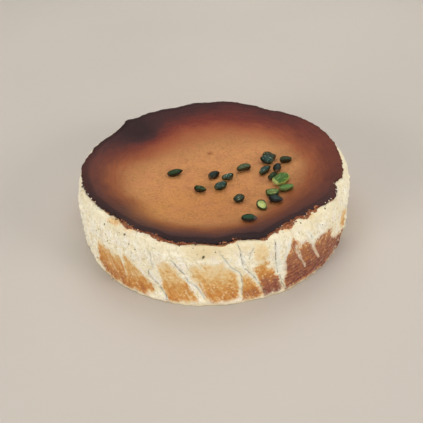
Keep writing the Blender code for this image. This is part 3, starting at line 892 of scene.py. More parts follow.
def body_rings():
    """The rings of the body, from the middle of the base to the middle of its hidden top."""
    rings = [(radius * MM, 0.0, fewer_inside(radius * MM)) for radius in BASE_RADII]
    rings += [(radius * MM, height * MM, TURN_STEPS) for radius, height in FOOT_ROUNDING]
    for height in np.linspace(LOWER_EDGE - 0.6 * MM, SHOULDER_HEIGHT, WALL_RINGS):
        share = (SHOULDER_HEIGHT - height) / (SHOULDER_HEIGHT - LOWER_EDGE)
        rings.append((WALL_RADIUS - WALL_TAPER * share**2, height, TURN_STEPS))
    ledge = CRUST_RADIUS + LEDGE_WIDTH
    for ring in range(1, SHOULDER_RINGS + 1):
        turn = math.pi / 2 * ring / SHOULDER_RINGS
        radius = ledge + (WALL_RADIUS - ledge) * math.cos(turn)
        height = SHOULDER_HEIGHT + (LEDGE_HEIGHT - SHOULDER_HEIGHT) * math.sin(turn)
        rings.append((radius, height, TURN_STEPS))
    rings += [(radius * MM, height * MM, TURN_STEPS) for radius, height in LEDGE_RINGS]
    for radius in HIDDEN_RADII:
        depth = HIDDEN_EDGE_DEPTH if radius == max(HIDDEN_RADII) else HIDDEN_DEPTH
        height = float(dish_height(radius * MM)) - depth
        rings.append((radius * MM, height, fewer_inside(radius * MM)))
    return rings


def crease_values(creases, points, angle, height):
    """At points of the wall: the creases' relief, how far each point is to the right of the
    nearest crease, how strong the painted shadow of that crease is, and the creases' pale borders."""
    relief, dark, pale = np.zeros((3, len(angle)))
    side = np.full(len(angle), FAR_OFF)
    angle = angle + np.degrees(lumps_at(CREASE_STRAY, points + 0.13) / WALL_RADIUS)
    uneven = 0.75 + 0.5 * noise_at(points + 0.21, 7 * MM)
    for depth, left_width, right_width, paleness, shadow_strength, path in creases:
        near = near_turns(angle, [turn for turn, _ in path])
        away, right, share = path_distance(path, angle[near], height[near])
        ends = smooth_step(0.0, CREASE_ENDS, share) * smooth_step(1.0, 1.0 - CREASE_ENDS, share)
        ends *= smooth_step(3 * MM, 0.5 * MM, away - np.abs(right))

        width = CREASE_WIDTH if depth > 0 else FOLD_WIDTH
        relief[near] -= ends * uneven[near] * depth * MM * np.exp(-((away / width) ** 2))
        if depth > 0:
            step = np.tanh(right / STEP_SOFTNESS) * np.exp(-((away / STEP_WIDTH) ** 2))
            relief[near] += ends * STEP_HEIGHT * step

        closer = (away < np.abs(side[near])) & (shadow_strength > 0)
        side[near] = np.where(closer, np.where(right > 0, away, -away), side[near])
        # The painted shadow of the crease, darkest on it and gone beyond SHADE_REACH.
        shaded = ends * shadow_strength * smooth_step(SHADE_REACH, SHADE_REACH / 2, away)
        dark[near] = np.where(closer, shaded, dark[near])

        border = np.where(right > 0, right_width, left_width) * MM
        if depth < 0:
            border = border * (1.3 - 0.95 * share)  # A fold's border narrows on its way down.
        whitish = ends * paleness * smooth_step(1.4 * border, 0.4 * border, away)
        pale[near] = np.maximum(pale[near], whitish)
    return relief, side, dark, pale


def toast_values(patches, points, angle, height):
    """How far inside a toasted patch each point of the wall is, and how dark the toast is there."""
    ragged_round = RAGGED_SIDEWAYS * lumps_at(PATCH_RAGGED, points + 0.77)
    angle = angle + np.degrees(ragged_round / WALL_RADIUS)
    height = height + lumps_at(PATCH_RAGGED, points + 0.31)
    inside = np.full(len(angle), -FAR_OFF)
    shade = np.zeros(len(angle))
    for top_shade, bottom_shade, outline in patches:
        near = near_turns(angle, [turn for turn, _ in outline])
        squat = [(turn, rise * UPWARD_SOFTNESS) for turn, rise in outline]
        depth = depth_inside(squat, angle[near], height[near] * UPWARD_SOFTNESS)
        heights = [rise * MM for _, rise in outline]
        fall = (max(heights) - height[near]) / (max(heights) - min(heights))
        own = top_shade + (bottom_shade - top_shade) * np.clip(fall, 0.0, 1.0) ** 1.3
        shade[near] = np.where(depth > inside[near], own, shade[near])
        inside[near] = np.maximum(inside[near], depth)
    return inside, shade


def wrinkled_share(angle, height):
    """1 where the wall has fine level wrinkles, and 0 elsewhere."""
    first, last, low, high = WRINKLED
    off = np.abs(turn_between(angle, (first + last) / 2)) / ((last - first) / 2)
    share = smooth_step(1.0, 0.85, off) * smooth_step(low - 4 * MM, low, height)
    return share * smooth_step(high + 4 * MM, high - 8 * MM, height)


def wrinkle_crests(points, angle, height):
    """Fine level wrinkles over the darkest patch of the wall: 1 on a crest, and -1 between two.
    Two waves of different spacing sway up and down and meet, so that no two wrinkles are alike."""
    sway = 3.2 * noise_at(points, 17 * MM) + 0.9 * noise_at(points, 6 * MM)
    turns = 2 * math.pi * height / WRINKLE_SPACING
    wave = 0.7 * np.sin(turns + sway) + 0.45 * np.sin(1.6 * turns - 1.4 * sway)
    uneven = np.clip(0.75 + 1.1 * noise_at(points + 0.4, 9 * MM), 0.1, 1.3)
    low, high = WRINKLE_FADE
    lower = WRINKLE_TOP_SHARE + (1 - WRINKLE_TOP_SHARE) * smooth_step(high, low, height)
    return wrinkled_share(angle, height) * wave * uneven * lower


def shoulder_moves(angle, height):
    """How far the wall's shoulder moves outwards where the crust's edge draws in."""
    high = smooth_step(SHOULDER_HEIGHT - 8 * MM, LEDGE_HEIGHT, height)
    return high * EDGE_FOLLOW * np.minimum(lobes_at(EDGE_LOBES, angle), 0.0)


def wall_moves(settings, points, angle, height, relief, toast, crests):
    """How far each point of the wall moves outwards."""
    high = smooth_step(SHOULDER_HEIGHT - 8 * MM, LEDGE_HEIGHT, height)
    rough = smooth_step(LEDGE_HEIGHT, SHOULDER_HEIGHT + 6 * MM, height)
    foot = smooth_step(FOOT_FADE_HEIGHT, 0.0, height) * lobes_at(FOOT_LOBES, angle)
    curd = lumps_at(CURD_LUMPS, points)
    pits = np.minimum(noise_at(points + 0.5, CURD_PIT_SIZE) + CURD_PIT_RARITY, 0.0)
    pits *= CURD_PIT_DEPTH
    sides = stretch_share(angle, ROUGH_SIDES) * lumps_at(SIDE_LUMPS, points + 0.9)

    out = shoulder_moves(angle, height) + high * lobes_at(SHOULDER_LOBES, angle) + foot
    out += rough * (lumps_at(WALL_LUMPS, points) + settings.crease_depth * relief)
    out += settings.curd_height * ((1.0 - 0.75 * toast) * (curd + pits) + TOAST_CURD * toast * curd)
    out += WRINKLE_HEIGHT * crests
    out += rough * sides
    out -= TOAST_SINK * toast
    out += smooth_step(5 * MM, 0.0, height) * lumps_at(FOOT_LUMPS, points)
    return np.where(height > 0.0, out, foot)


def leaning_places(angle, height):
    """Places on the upright wall, turned back by how far the creases lean at each height, so that
    streaks drawn straight down them lean as the creases do."""
    turn = np.radians(angle) + round_the_cake(LEAN, angle) * height / WALL_RADIUS
    return np.stack([np.cos(turn) * WALL_RADIUS, np.sin(turn) * WALL_RADIUS, height], 1)


def build_body(settings):
    """The pale baked body: a curdled wall with creases and toasted patches, and a flat base."""
    points, faces = turned_surface(body_rings())
    angle, radius = polar(points)
    height = points[:, 2].copy()
    relief, side, dark, pale = crease_values(CREASES + back_creases(), points, angle, height)
    inside, shade = toast_values(TOASTED + back_patches(), points, angle, height)
    toast = smooth_step(-1.0 * MM, 1.5 * MM, inside)
    crests = wrinkle_crests(points, angle, height)
    edge = lobes_at(EDGE_LOBES, angle)
    rim = lobes_at(RIM_LOBES, angle)

    out = wall_moves(settings, points, angle, height, relief, toast, crests)
    out *= smooth_step(0.0, BASE_RADIUS, radius)
    rise = smooth_step(SHOULDER_HEIGHT - 20 * MM, LEDGE_HEIGHT, height) * rim
    hidden = (height > LOWER_EDGE) & (radius < RIM_RADIUS + MM)
    near_edge = smooth_step(EDGE_FADE_RADIUS, CRUST_RADIUS, radius)
    out = np.where(hidden, near_edge * edge, out)
    rise = np.where(hidden, near_edge * rim + lumps_at(TOP_LUMPS, points), rise)
    shaped = moved(points, angle, radius, out, rise)
    shaped[:, 2] = np.maximum(shaped[:, 2], 0.0)

    below_crust = smooth_step(LEDGE_HEIGHT - 5.5 * MM, LEDGE_HEIGHT, height)
    torn_reach = np.maximum(lobes_at(TORN_SPOTS, angle), 0.18 * MM)
    beyond = (radius + shoulder_moves(angle, height) - CRUST_RADIUS - edge) / torn_reach
    golden = smooth_step(LEDGE_HEIGHT - 3.5 * MM, LEDGE_HEIGHT, height)
    all_strip, no_strip = STRIP_HEIGHTS
    dark_foot, dark_spread = DARK_FOOT
    off_dark = np.abs(turn_between(angle, dark_foot))
    strip = smooth_step(no_strip, all_strip, height)
    strip *= 1 - 0.85 * smooth_step(dark_spread, dark_spread - 7.0, off_dark)
    values = {
        "toast_depth": np.clip(inside / MM, -8, 12),
        "shade": shade,
        "crease_side": side / MM,
        "crease_dark": dark,
        "pale": pale,
        "stain": golden * lobes_at(GOLDEN, angle) / MM,
        "shoulder": smooth_step(47 * MM, 54 * MM, height),
        "buttery": smooth_step(42 * MM, 53 * MM, height) * lobes_at(BUTTERY_AND_SHADED, angle) / MM,
        "raw": below_crust * np.clip(2.2 - 1.3 * beyond, -1.0, 1.3),
        "strip": strip,
        "wrinkled": wrinkled_share(angle, height),
        "crests": crests,
        "foot": smooth_step(13 * MM, 5 * MM, height),
        "leaning_place": leaning_places(angle, height),
    }
    body = mesh_object("cheesecake_body", shaped, faces, values)
    body.data.materials.append(body_material(settings))
    return body


# ---- The browned crust -----------------------------------------------------------------------


def crust_rings(thickness):
    """The rings of the crust, from the middle below over its edge to the middle of its top."""
    rings = []
    radius = 0.0
    while radius < RIM_RADIUS - 0.5 * MM:
        rings.append((radius, float(dish_height(radius)), fewer_inside(radius)))
        radius += next(gap for limit, gap in CRUST_SPACING if radius < limit * MM) * MM
    for bend in range(EDGE_BENDS + 1):
        turn = math.pi / 2 * bend / EDGE_BENDS
        radius = RIM_RADIUS + (CRUST_RADIUS - RIM_RADIUS) * math.sin(turn)
        height = CRUST_HEIGHT + (RIM_HEIGHT - CRUST_HEIGHT) * math.cos(turn)
        rings.append((radius, height, TURN_STEPS))
    for inset, share in UNDER_EDGE:
        rings.append((CRUST_RADIUS - inset * MM, CRUST_HEIGHT - share * thickness, TURN_STEPS))
    for radius in UNDERSIDE_RADII:
        height = float(dish_height(radius * MM)) - thickness * 1.1
        rings.append((radius * MM, height, fewer_inside(radius * MM)))
    return rings[::-1]


def patch_at(patch, points):
    """A soft round patch of the top, from its strength in the middle down to 0."""
    angle, radius, reach, strength = patch
    middle = outward(angle) * radius * MM
    away = np.hypot(points[:, 0] - middle.x, points[:, 1] - middle.y)
    return strength * np.exp(-((away / (reach * MM)) ** 2))


def browning_at(shaped, points, angle):
    """How far the crust has browned: 0 in the middle, and about 1 where it is nearly black."""
    reach = polar(shaped)[1]
    start, half, full, deepest = round_the_cake(BROWNING, angle)
    sway = 1.0 + 0.03 * noise_at(points, 30 * MM) + 0.018 * noise_at(points, 11 * MM)
    swayed = reach * sway / MM
    browning = 0.5 * np.clip((swayed - start) / (half - start), 0.0, 1.0) ** 1.35
    browning += 0.5 * np.maximum((swayed - half) / (full - half), 0.0)
    browning -= BROWNING_EASE * np.log1p(np.exp((browning - deepest) / BROWNING_EASE))
    return browning + patch_at(SCORCH, shaped) * (1 + 0.3 * noise_at(points, 9 * MM))


def rim_streaks(shaped, angle):
    """Fine level streaks towards the rim, from about -1 to 1."""
    reach = polar(shaped)[1]
    turn = np.radians(angle)
    across = reach / STREAK_WIDTH * 0.11
    places = np.stack([np.cos(turn) * 0.9, np.sin(turn) * 0.9, across], 1)
    return noise_at(places, 0.11) * smooth_step(60 * MM, 82 * MM, reach)


def build_crust(settings):
    """The browned crust: a thin dished lid that overhangs the wall, with a torn edge."""
    points, faces = turned_surface(crust_rings(settings.crust_thickness))
    angle, radius = polar(points)
    near_edge = smooth_step(EDGE_FADE_RADIUS, CRUST_RADIUS, radius)
    tip = smooth_step(CRUST_RADIUS - 4 * MM, CRUST_RADIUS - 1 * MM, radius)
    torn = stretch_share(angle, TORN)
    jagged = np.maximum(0.25 + 0.35 * torn, stretch_share(angle, JAGGED))

    tear = lumps_at(CRUST_TEAR, points) + (0.15 + torn) * lumps_at(FINE_TEAR, points)
    tear += jagged * lumps_at(TEETH, points + 0.9)
    out = near_edge * lobes_at(EDGE_LOBES, angle) + settings.tear_depth * tip * tear
    rise = near_edge * lobes_at(RIM_LOBES, angle) + lumps_at(TOP_LUMPS, points)
    rise += (0.4 + smooth_step(86 * MM, 104 * MM, radius)) * lumps_at(SKIN_LUMPS, points)
    rise += tip * torn * lumps_at(FINE_TEAR, points + 0.6) * 0.7
    pit_x, pit_y, pit_radius, pit_depth = (value * MM for value in PIT)
    pit_away = np.hypot(points[:, 0] - pit_x, points[:, 1] - pit_y) / pit_radius
    brim = PIT_BRIM * np.exp(-(((pit_away - 1.1) / 0.35) ** 2))
    rise += pit_depth * (brim - np.exp(-(pit_away**2) * 1.6))
    shaped = moved(points, angle, radius, out, rise)

    edge = smooth_step(CRUST_RADIUS - 2.4 * MM, CRUST_RADIUS - 0.2 * MM, radius)
    spots = np.clip(lobes_at(TORN_SPOTS, angle) / (1.6 * MM), 0.0, 1.0)
    underside = dish_height(np.minimum(radius, RIM_RADIUS)) - 0.7 * settings.crust_thickness
    below = points[:, 2] < underside
    values = {
        "browning": browning_at(shaped, points, angle),
        "ruddy": round_the_cake(RUDDY, angle),
        "streak": rim_streaks(shaped, angle),
        "torn_edge": np.maximum(edge * torn * (0.2 + 0.5 * spots), below * (0.4 + 0.6 * torn)),
        "pit": np.exp(-(pit_away**2)),
        "honey": sum(patch_at(patch, shaped) for patch in HONEY),
        "deeper": patch_at(DEEPER, shaped),
        "lip": smooth_step(104.5 * MM, 108.5 * MM, radius) * round_the_cake(LIP, angle),
    }
    crust = mesh_object("browned_crust", shaped, faces, values)
    crust.data.materials.append(crust_material(settings))
    return crust


# ---- Materials -------------------------------------------------------------------------------


class Recipe:
    """Lays out the shader nodes of one material."""

    def __init__(self, name):
        self.material = bpy.data.materials.new(name)
        self.material.use_nodes = True
        self.tree = self.material.node_tree
        self.surface = self.tree.nodes["Principled BSDF"]
        self.place = self.add("ShaderNodeTexCoord").outputs["Object"]

    def add(self, kind, inputs=None, **settings):
        """Add a node, set its options, and set or join its inputs."""
        node = self.tree.nodes.new(kind)
        for name, value in settings.items():
            setattr(node, name, value)
        for name, value in (inputs or {}).items():
            self.join(node.inputs[name], value)
        return node

    def join(self, socket, value):
        """Give a socket a plain value, or join it to another node's output."""
        if isinstance(value, bpy.types.NodeSocket):
            self.tree.links.new(value, socket)
        elif hasattr(socket.default_value, "__len__") and len(socket.default_value) == 4:
            socket.default_value = (*tuple(value)[:3], 1.0)
        else:
            socket.default_value = value

    def kept(self, label, part="Fac"):
        """A value that was kept at the mesh's points."""
        return self.add("ShaderNodeAttribute", attribute_name=label).outputs[part]

    def grain(self, size, detail=3.0, roughness=0.5, stretch=(1, 1, 1), where=None):
        """Soft noise from 0 to 1, whose blotches are about this size in metres."""
        place = self.add(
            "ShaderNodeMapping", {"Vector": where or self.place, "Scale": stretch}
        ).outputs[0]
        inputs = {"Vector": place, "Scale": 1 / size, "Detail": detail, "Roughness": roughness}
        return self.add("ShaderNodeTexNoise", inputs).outputs["Fac"]

    def cells(self, size):
        """The distance to the middle of rounded cells of about this size in metres."""
        inputs = {"Vector": self.place, "Scale": 1 / size}
        return self.add("ShaderNodeTexVoronoi", inputs).outputs["Distance"]

    def number(self, operation, first, second=0.0, clamp=False):
        """One operation on two numbers."""
        node = self.add("ShaderNodeMath", operation=operation, use_clamp=clamp)
        self.join(node.inputs[0], first)
        self.join(node.inputs[1], second)
        return node.outputs[0]

    def plus(self, total, *others):
        """The sum of several numbers."""
        for other in others:
            total = self.number("ADD", total, other)
        return total

    def times(self, product, *others):
        """The product of several numbers."""
        for other in others:
            product = self.number("MULTIPLY", product, other)
        return product

    def swing(self, value, amount, middle=0.5):
        """A value moved to swing about zero by this amount."""
        return self.times(self.number("SUBTRACT", value, middle), amount)

    def spread(self, value, low, high, to_low=0.0, to_high=1.0):
        """A value's range from low to high, spread smoothly over another range."""
        inputs = {"Value": value, "From Min": low, "From Max": high}
        inputs |= {"To Min": to_low, "To Max": to_high}
        return self.add("ShaderNodeMapRange", inputs, interpolation_type="SMOOTHSTEP").outputs[0]

    def blend(self, share, first, second, kind="MIX"):
        """Two colours mixed by a share."""
        node = self.add("ShaderNodeMix", data_type="RGBA", blend_type=kind)
        self.join(node.inputs[0], share)
        self.join(node.inputs[6], first)
        self.join(node.inputs[7], second)
        return node.outputs[2]

    def ramp(self, value, stops):
        """A colour picked from stops of (position, colour)."""
        node = self.add("ShaderNodeValToRGB", {"Fac": value})
        while len(node.color_ramp.elements) < len(stops):
            node.color_ramp.elements.new(0.5)
        for element, (position, colour) in zip(node.color_ramp.elements, stops):
            element.position = position
            element.color = (*tuple(colour)[:3], 1.0)
        return node.outputs["Color"]

    def relief(self, heights):
        """Small relief from (value, height in metres) pairs, one laid over the other."""
        normal = None
        for value, height in heights:
            inputs = {"Height": value, "Distance": height, "Strength": 1.0}
            if normal is not None:
                inputs["Normal"] = normal
            normal = self.add("ShaderNodeBump", inputs).outputs["Normal"]
        self.tree.links.new(normal, self.surface.inputs["Normal"])

    def finish(self, colour, roughness, **plain):
        """Join the colour and the roughness, and set the shader's plain values."""
        self.join(self.surface.inputs["Base Color"], colour)
        self.join(self.surface.inputs["Roughness"], roughness)
        for name, value in plain.items():
            self.surface.inputs[name.replace("_", " ")].default_value = value
        return self.material


def scaled(colour, factor):
    """A colour made lighter or darker."""
    return tuple(min(part * factor, 1.0) for part in tuple(colour)[:3])


def level_strands(recipe):
    """Fine strands that run round the wall and bend a little."""
    bend = recipe.swing(recipe.grain(22 * MM, 1.0), 14 * MM)
    bend = recipe.add("ShaderNodeCombineXYZ", {"Z": bend}).outputs[0]
    shift = {0: recipe.place, 1: bend}
    bent = recipe.add("ShaderNodeVectorMath", shift, operation="ADD").outputs[0]
    return recipe.grain(1.1 * MM, 3.0, 0.55, (0.13, 0.13, 1), bent)


def leaning_threads(recipe, leaning):
    """Thin lines that run down the wall in places, leaning as the creases do."""
    thread = recipe.grain(6.5 * MM, 1.5, 0.4, (1, 1, 0.14), leaning)
    thread = recipe.spread(recipe.number("ABSOLUTE", recipe.swing(thread, 1.0)), 0.028, 0.0)
    return recipe.times(thread, recipe.spread(recipe.grain(12 * MM, 1.0), 0.42, 0.6))


class WallGrain:
    """What the finishes of the body share: noises of several sizes, and where it is wrinkled."""

    def __init__(self, recipe):
        leaning = recipe.kept("leaning_place", "Vector")
        self.wrinkled = recipe.kept("wrinkled")
        self.plain = recipe.spread(self.wrinkled, 0.0, 1.0, 1.0, 0.0)
        self.blotch = recipe.grain(7 * MM, 4.0, 0.55)
        self.curd = recipe.grain(2.6 * MM, 4.0, 0.6)
        self.fine = recipe.grain(0.9 * MM, 3.0, 0.6)
        self.streak = recipe.grain(2.2 * MM, 3.0, 0.6, (1, 1, 0.16), leaning)
        self.strand = level_strands(recipe)
        self.thread = recipe.times(leaning_threads(recipe, leaning), self.plain)


def pale_curd(recipe, settings, grain):
    """The pale side: creamy, with butter-yellow, whitish and pinkish blotches, painted shade in the
    curd's hollows, painted highlights on its crests, and a few small pits, the larger ones darkened
    with painted shade.
    """
    blotch, curd, fine = grain.blotch, grain.curd, grain.fine
    tone = recipe.plus(recipe.grain(15 * MM, 2.0), recipe.swing(curd, 0.5))
    pale = recipe.blend(recipe.spread(tone, 0.36, 0.6), settings.butter, settings.cream)
    white = recipe.spread(recipe.plus(blotch, recipe.swing(fine, 0.4)), 0.5, 0.64, 0.0, 0.85)
    pale = recipe.blend(white, pale, settings.curd_white)
    pink = recipe.spread(recipe.grain(8 * MM, 2.0, 0.5, (1, 1, 0.8)), 0.56, 0.66, 0.0, 0.6)
    pale = recipe.blend(pink, pale, settings.blush)
    # Painted shade in the hollows of the curd and painted highlights on its crests, over the same noise as
    # its relief.
    hollow = recipe.spread(recipe.plus(curd, recipe.swing(fine, 0.8)), 0.45, 0.31, 0.0, 0.8)
    pale = recipe.blend(hollow, pale, scaled(settings.butter, 0.74))
    crest = recipe.spread(recipe.plus(curd, recipe.swing(fine, 0.5)), 0.52, 0.62, 0.0, 0.8)
    pale = recipe.blend(crest, pale, scaled(settings.curd_white, 1.05))
    crumbly = recipe.spread(recipe.grain(1.3 * MM, 2.0, 0.6, (1, 1, 0.7)), 0.42, 0.26, 0.0, 0.4)
    pale = recipe.blend(crumbly, pale, settings.crease_shade)
    prick = recipe.spread(recipe.cells(2.9 * MM), 0.16, 0.07)
    prick = recipe.times(prick, 0.55, recipe.spread(tone, 0.42, 0.56))
    pale = recipe.blend(prick, pale, PRICK_BROWN)
    # Small dark spots of painted shade for pits, with no relief under them.
    hole = recipe.spread(recipe.cells(5.2 * MM), 0.13, 0.05)
    hole = recipe.times(hole, recipe.spread(blotch, 0.48, 0.58, 0.0, 0.65))
    pale = recipe.blend(hole, pale, HOLE_SHADE)
    return recipe.blend(recipe.times(grain.thread, 0.22), pale, settings.crease_shade)


def toast_mask(recipe, depth, border):
    """1 where the wall is toasted and 0 where it is pale, with a curdled edge between them."""
    bare = recipe.number("SUBTRACT", 1.0, recipe.times(border, 0.86))
    return recipe.times(recipe.spread(depth, -1.3, 1.1), bare)


def toast_shade(recipe, grain, depth):
    """How dark the toast is: 0 is pale gold and 1 the deepest red-brown."""
    shade = recipe.plus(
        recipe.kept("shade"),
        recipe.swing(grain.blotch, 0.5),
        recipe.swing(grain.curd, 0.6, 0.53),
        recipe.swing(grain.fine, 0.3),
        recipe.times(recipe.swing(grain.streak, 1.0), grain.plain, 0.5),
        recipe.times(recipe.swing(grain.strand, 0.8), grain.wrinkled),
        # Lighter on the wrinkles' crests and darker between them: painted light and shade over their small
        # relief.
        recipe.times(recipe.kept("crests"), -0.17),
        recipe.times(recipe.kept("strip"), -0.3),
    )
    paler_edge = recipe.spread(depth, -0.5, 2.0, 0.24, 0.0)
    return recipe.number("SUBTRACT", shade, paler_edge, clamp=True)


def toasted_curd(recipe, settings, grain, shade):
    """The toasted side: pale gold to deep red-brown, with fine bright flecks that are partly painted
    glints, and thin lines.
    """
    toasted = recipe.ramp(
        shade,
        (
            (0.0, STRAW),
            (0.14, SAND),
            (0.29, settings.gold),
            (0.45, GINGER),
            (0.61, settings.toast),
            (0.74, RUSSET),
            (0.86, CHESTNUT),
            (1.0, settings.deep_toast),
        ),
    )
    flecks_and_glints = recipe.times(
        recipe.spread(recipe.cells(2.8 * MM), 0.42, 0.16),
        recipe.spread(recipe.grain(9 * MM, 2.0), 0.40, 0.54),
        recipe.spread(shade, 0.9, 0.5, 0.2, 1.0),
        0.7,
    )
    toasted = recipe.blend(flecks_and_glints, toasted, FLECK_AND_GLINT)
    return recipe.blend(recipe.times(grain.thread, 0.42), toasted, settings.butter)


def with_edge_stains(recipe, settings, grain, colour):
    """The wall's colour with what shows near its edges: butter-yellow on the shoulder, a darker
    butter-yellow band of painted shade under the crust's overhang in places, golden stains and raw
    torn curd under the crust, and a pale strip along the foot."""
    curd, fine = grain.curd, grain.fine
    shoulder = recipe.kept("shoulder")
    butter = recipe.spread(recipe.plus(shoulder, recipe.swing(curd, 1.4)), 0.3, 1.2, 0.0, 0.6)
    colour = recipe.blend(recipe.times(butter, shoulder), colour, scaled(settings.butter, 0.88))

    # A darker butter-yellow band under the overhang: yellow tint and painted shade.
    yellow = recipe.kept("buttery")
    share = recipe.spread(recipe.plus(yellow, recipe.swing(curd, 1.2)), 0.2, 1.1, 0.0, 0.85)
    share = recipe.times(share, recipe.spread(yellow, 0.0, 0.3))
    colour = recipe.blend(share, colour, BUTTER_SHADE_YELLOW)

    stain = recipe.kept("stain")
    share = recipe.spread(recipe.plus(stain, recipe.swing(curd, 1.2)), 0.3, 1.0)
    share = recipe.times(share, recipe.spread(stain, 0.0, 0.3), 0.85)
    golden = recipe.blend(recipe.spread(fine, 0.35, 0.65), STAIN_BROWN, STAIN_GOLD)
    colour = recipe.blend(share, colour, golden)

    raw = recipe.plus(recipe.kept("raw"), recipe.swing(curd, 2.2), recipe.swing(fine, 1.2))
    bright = recipe.spread(recipe.plus(fine, recipe.swing(curd, 0.8)), 0.38, 0.62)
    torn = recipe.blend(bright, RAW_DARK, RAW_BRIGHT)
    colour = recipe.blend(recipe.spread(raw, 0.35, 0.75, 0.0, 0.9), colour, torn)

    strip = recipe.plus(recipe.kept("strip"), recipe.swing(curd, 0.8))
    return recipe.blend(recipe.times(recipe.spread(strip, 0.3, 0.9), 0.6), colour, STRIP_CREAM)


def with_crease_lines(recipe, settings, colour, away):
    """The wall's colour with the creases: a soft painted shade beside each, and a thin dark
    painted shadow down its groove.
    """
    drawn = recipe.spread(recipe.grain(4.5 * MM, 3.0), 0.4, 0.6, 0.1, 1.0)
    dark = recipe.times(recipe.kept("crease_dark"), drawn)
    shade = recipe.times(recipe.spread(away, 1.6, 0.2), dark, 0.3)
    colour = recipe.blend(shade, colour, settings.crease_shade)
    shadow_line = recipe.times(recipe.spread(away, 0.42, 0.05), dark, 0.75)
    return recipe.blend(shadow_line, colour, scaled(settings.crease_shade, 0.3))


def body_material(settings):
    """Pale curdled cake with toasted patches, dark creases and whitish borders."""
    recipe = Recipe("baked_body")
    grain = WallGrain(recipe)
    blotch, curd, fine, streak = grain.blotch, grain.curd, grain.fine, grain.streak
    wrinkled = grain.wrinkled

    pale = pale_curd(recipe, settings, grain)
    border = recipe.plus(recipe.kept("pale"), recipe.swing(curd, 1.1), recipe.swing(blotch, 1.0))
    near_crease = recipe.spread(recipe.kept("pale"), 0.02, 0.3)
    border = recipe.times(recipe.spread(border, 0.15, 0.95), near_crease)
    # The pale borders run from the painted cool shade of the folds to curd white.
    white = recipe.blend(recipe.spread(streak, 0.32, 0.62), settings.fold_shade, settings.curd_white)
    white = recipe.blend(wrinkled, white, settings.fold_beige)
    colour = recipe.blend(recipe.times(border, 0.75), pale, white)

    ragged = recipe.plus(
        recipe.swing(blotch, 6.5), recipe.swing(curd, 4.2), recipe.swing(streak, 3.0)
    )
    ragged = recipe.times(ragged, recipe.spread(recipe.kept("foot"), 0.0, 1.0, 1.0, 0.4))
    depth = recipe.plus(recipe.kept("toast_depth"), ragged, recipe.swing(fine, 1.8))
    toasted = toasted_curd(recipe, settings, grain, toast_shade(recipe, grain, depth))
    colour = recipe.blend(toast_mask(recipe, depth, border), colour, toasted)

    colour = with_edge_stains(recipe, settings, grain, colour)
    wobble = recipe.plus(recipe.swing(recipe.grain(5 * MM, 2.0), 0.5), recipe.swing(curd, 0.8))
    away = recipe.number("ABSOLUTE", recipe.plus(recipe.kept("crease_side"), wobble))
    colour = with_crease_lines(recipe, settings, colour, away)

    groove = recipe.spread(away, 0.9, 0.0, 0.0, -1.0)
    recipe.relief(
        (
            (recipe.times(groove, recipe.kept("crease_dark")), 0.3 * MM),
            (grain.thread, 0.15 * MM),
            (recipe.times(grain.strand, wrinkled), 0.5 * MM),
            (curd, 1.1 * MM),
            (fine, 0.5 * MM),
            (recipe.grain(0.4 * MM, 2.0), 0.12 * MM),
        )
    )
    roughness = recipe.spread(curd, 0.3, 0.7, 0.40, 0.60)
    return recipe.finish(colour, roughness, Specular_IOR_Level=0.3)


def browned_colours(recipe, settings, depth):
    """The crust's colour at each depth of browning, more or less ruddy. The less ruddy tints, which
    the front takes, end in greyer, bluer darks that are partly a painted sheen.
    """
    caramel, char = settings.caramel, settings.char
    ruddy = recipe.ramp(
        depth,
        (
            (0.0, caramel),
            (0.14, scaled(caramel, 0.82)),
            (0.36, settings.amber),
            (0.52, settings.mahogany),
            (0.71, char),
            (0.95, scaled(char, 0.5)),
        ),
    )
    plain = recipe.ramp(
        depth,
        (
            (0.0, caramel),
            (0.14, scaled(caramel, 0.88)),
            (0.36, PLAIN_AMBER),
            (0.52, PLAIN_BROWN),
            (0.71, PLAIN_CHAR_AND_SHEEN),
            (0.95, PLAIN_BLACK_AND_SHEEN),
        ),
    )
    return recipe.blend(recipe.kept("ruddy"), plain, ruddy)


def with_middle_tints(recipe, depth, colour):
    """The crust's colour with what tints its pale middle: honey, freckles and rosy blotches."""
    colour = recipe.blend(recipe.times(recipe.kept("honey"), 0.7), colour, HONEY_TINT)
    deeper = recipe.times(recipe.kept("deeper"), recipe.spread(depth, 0.26, 0.06))
    colour = recipe.blend(deeper, colour, DEEPER_TINT, "MULTIPLY")
    freckle = recipe.spread(recipe.grain(5 * MM, 2.0), 0.58, 0.68, 0.0, 0.3)
    freckle = recipe.times(freckle, recipe.spread(depth, 0.3, 0.1))
    colour = recipe.blend(freckle, colour, FRECKLE)
    rosy = recipe.spread(recipe.grain(13 * MM, 3.0, 0.6), 0.48, 0.66, 0.0, 0.45)
    rosy = recipe.times(rosy, recipe.spread(depth, 0.3, 0.12))
    return recipe.blend(rosy, colour, ROSY)


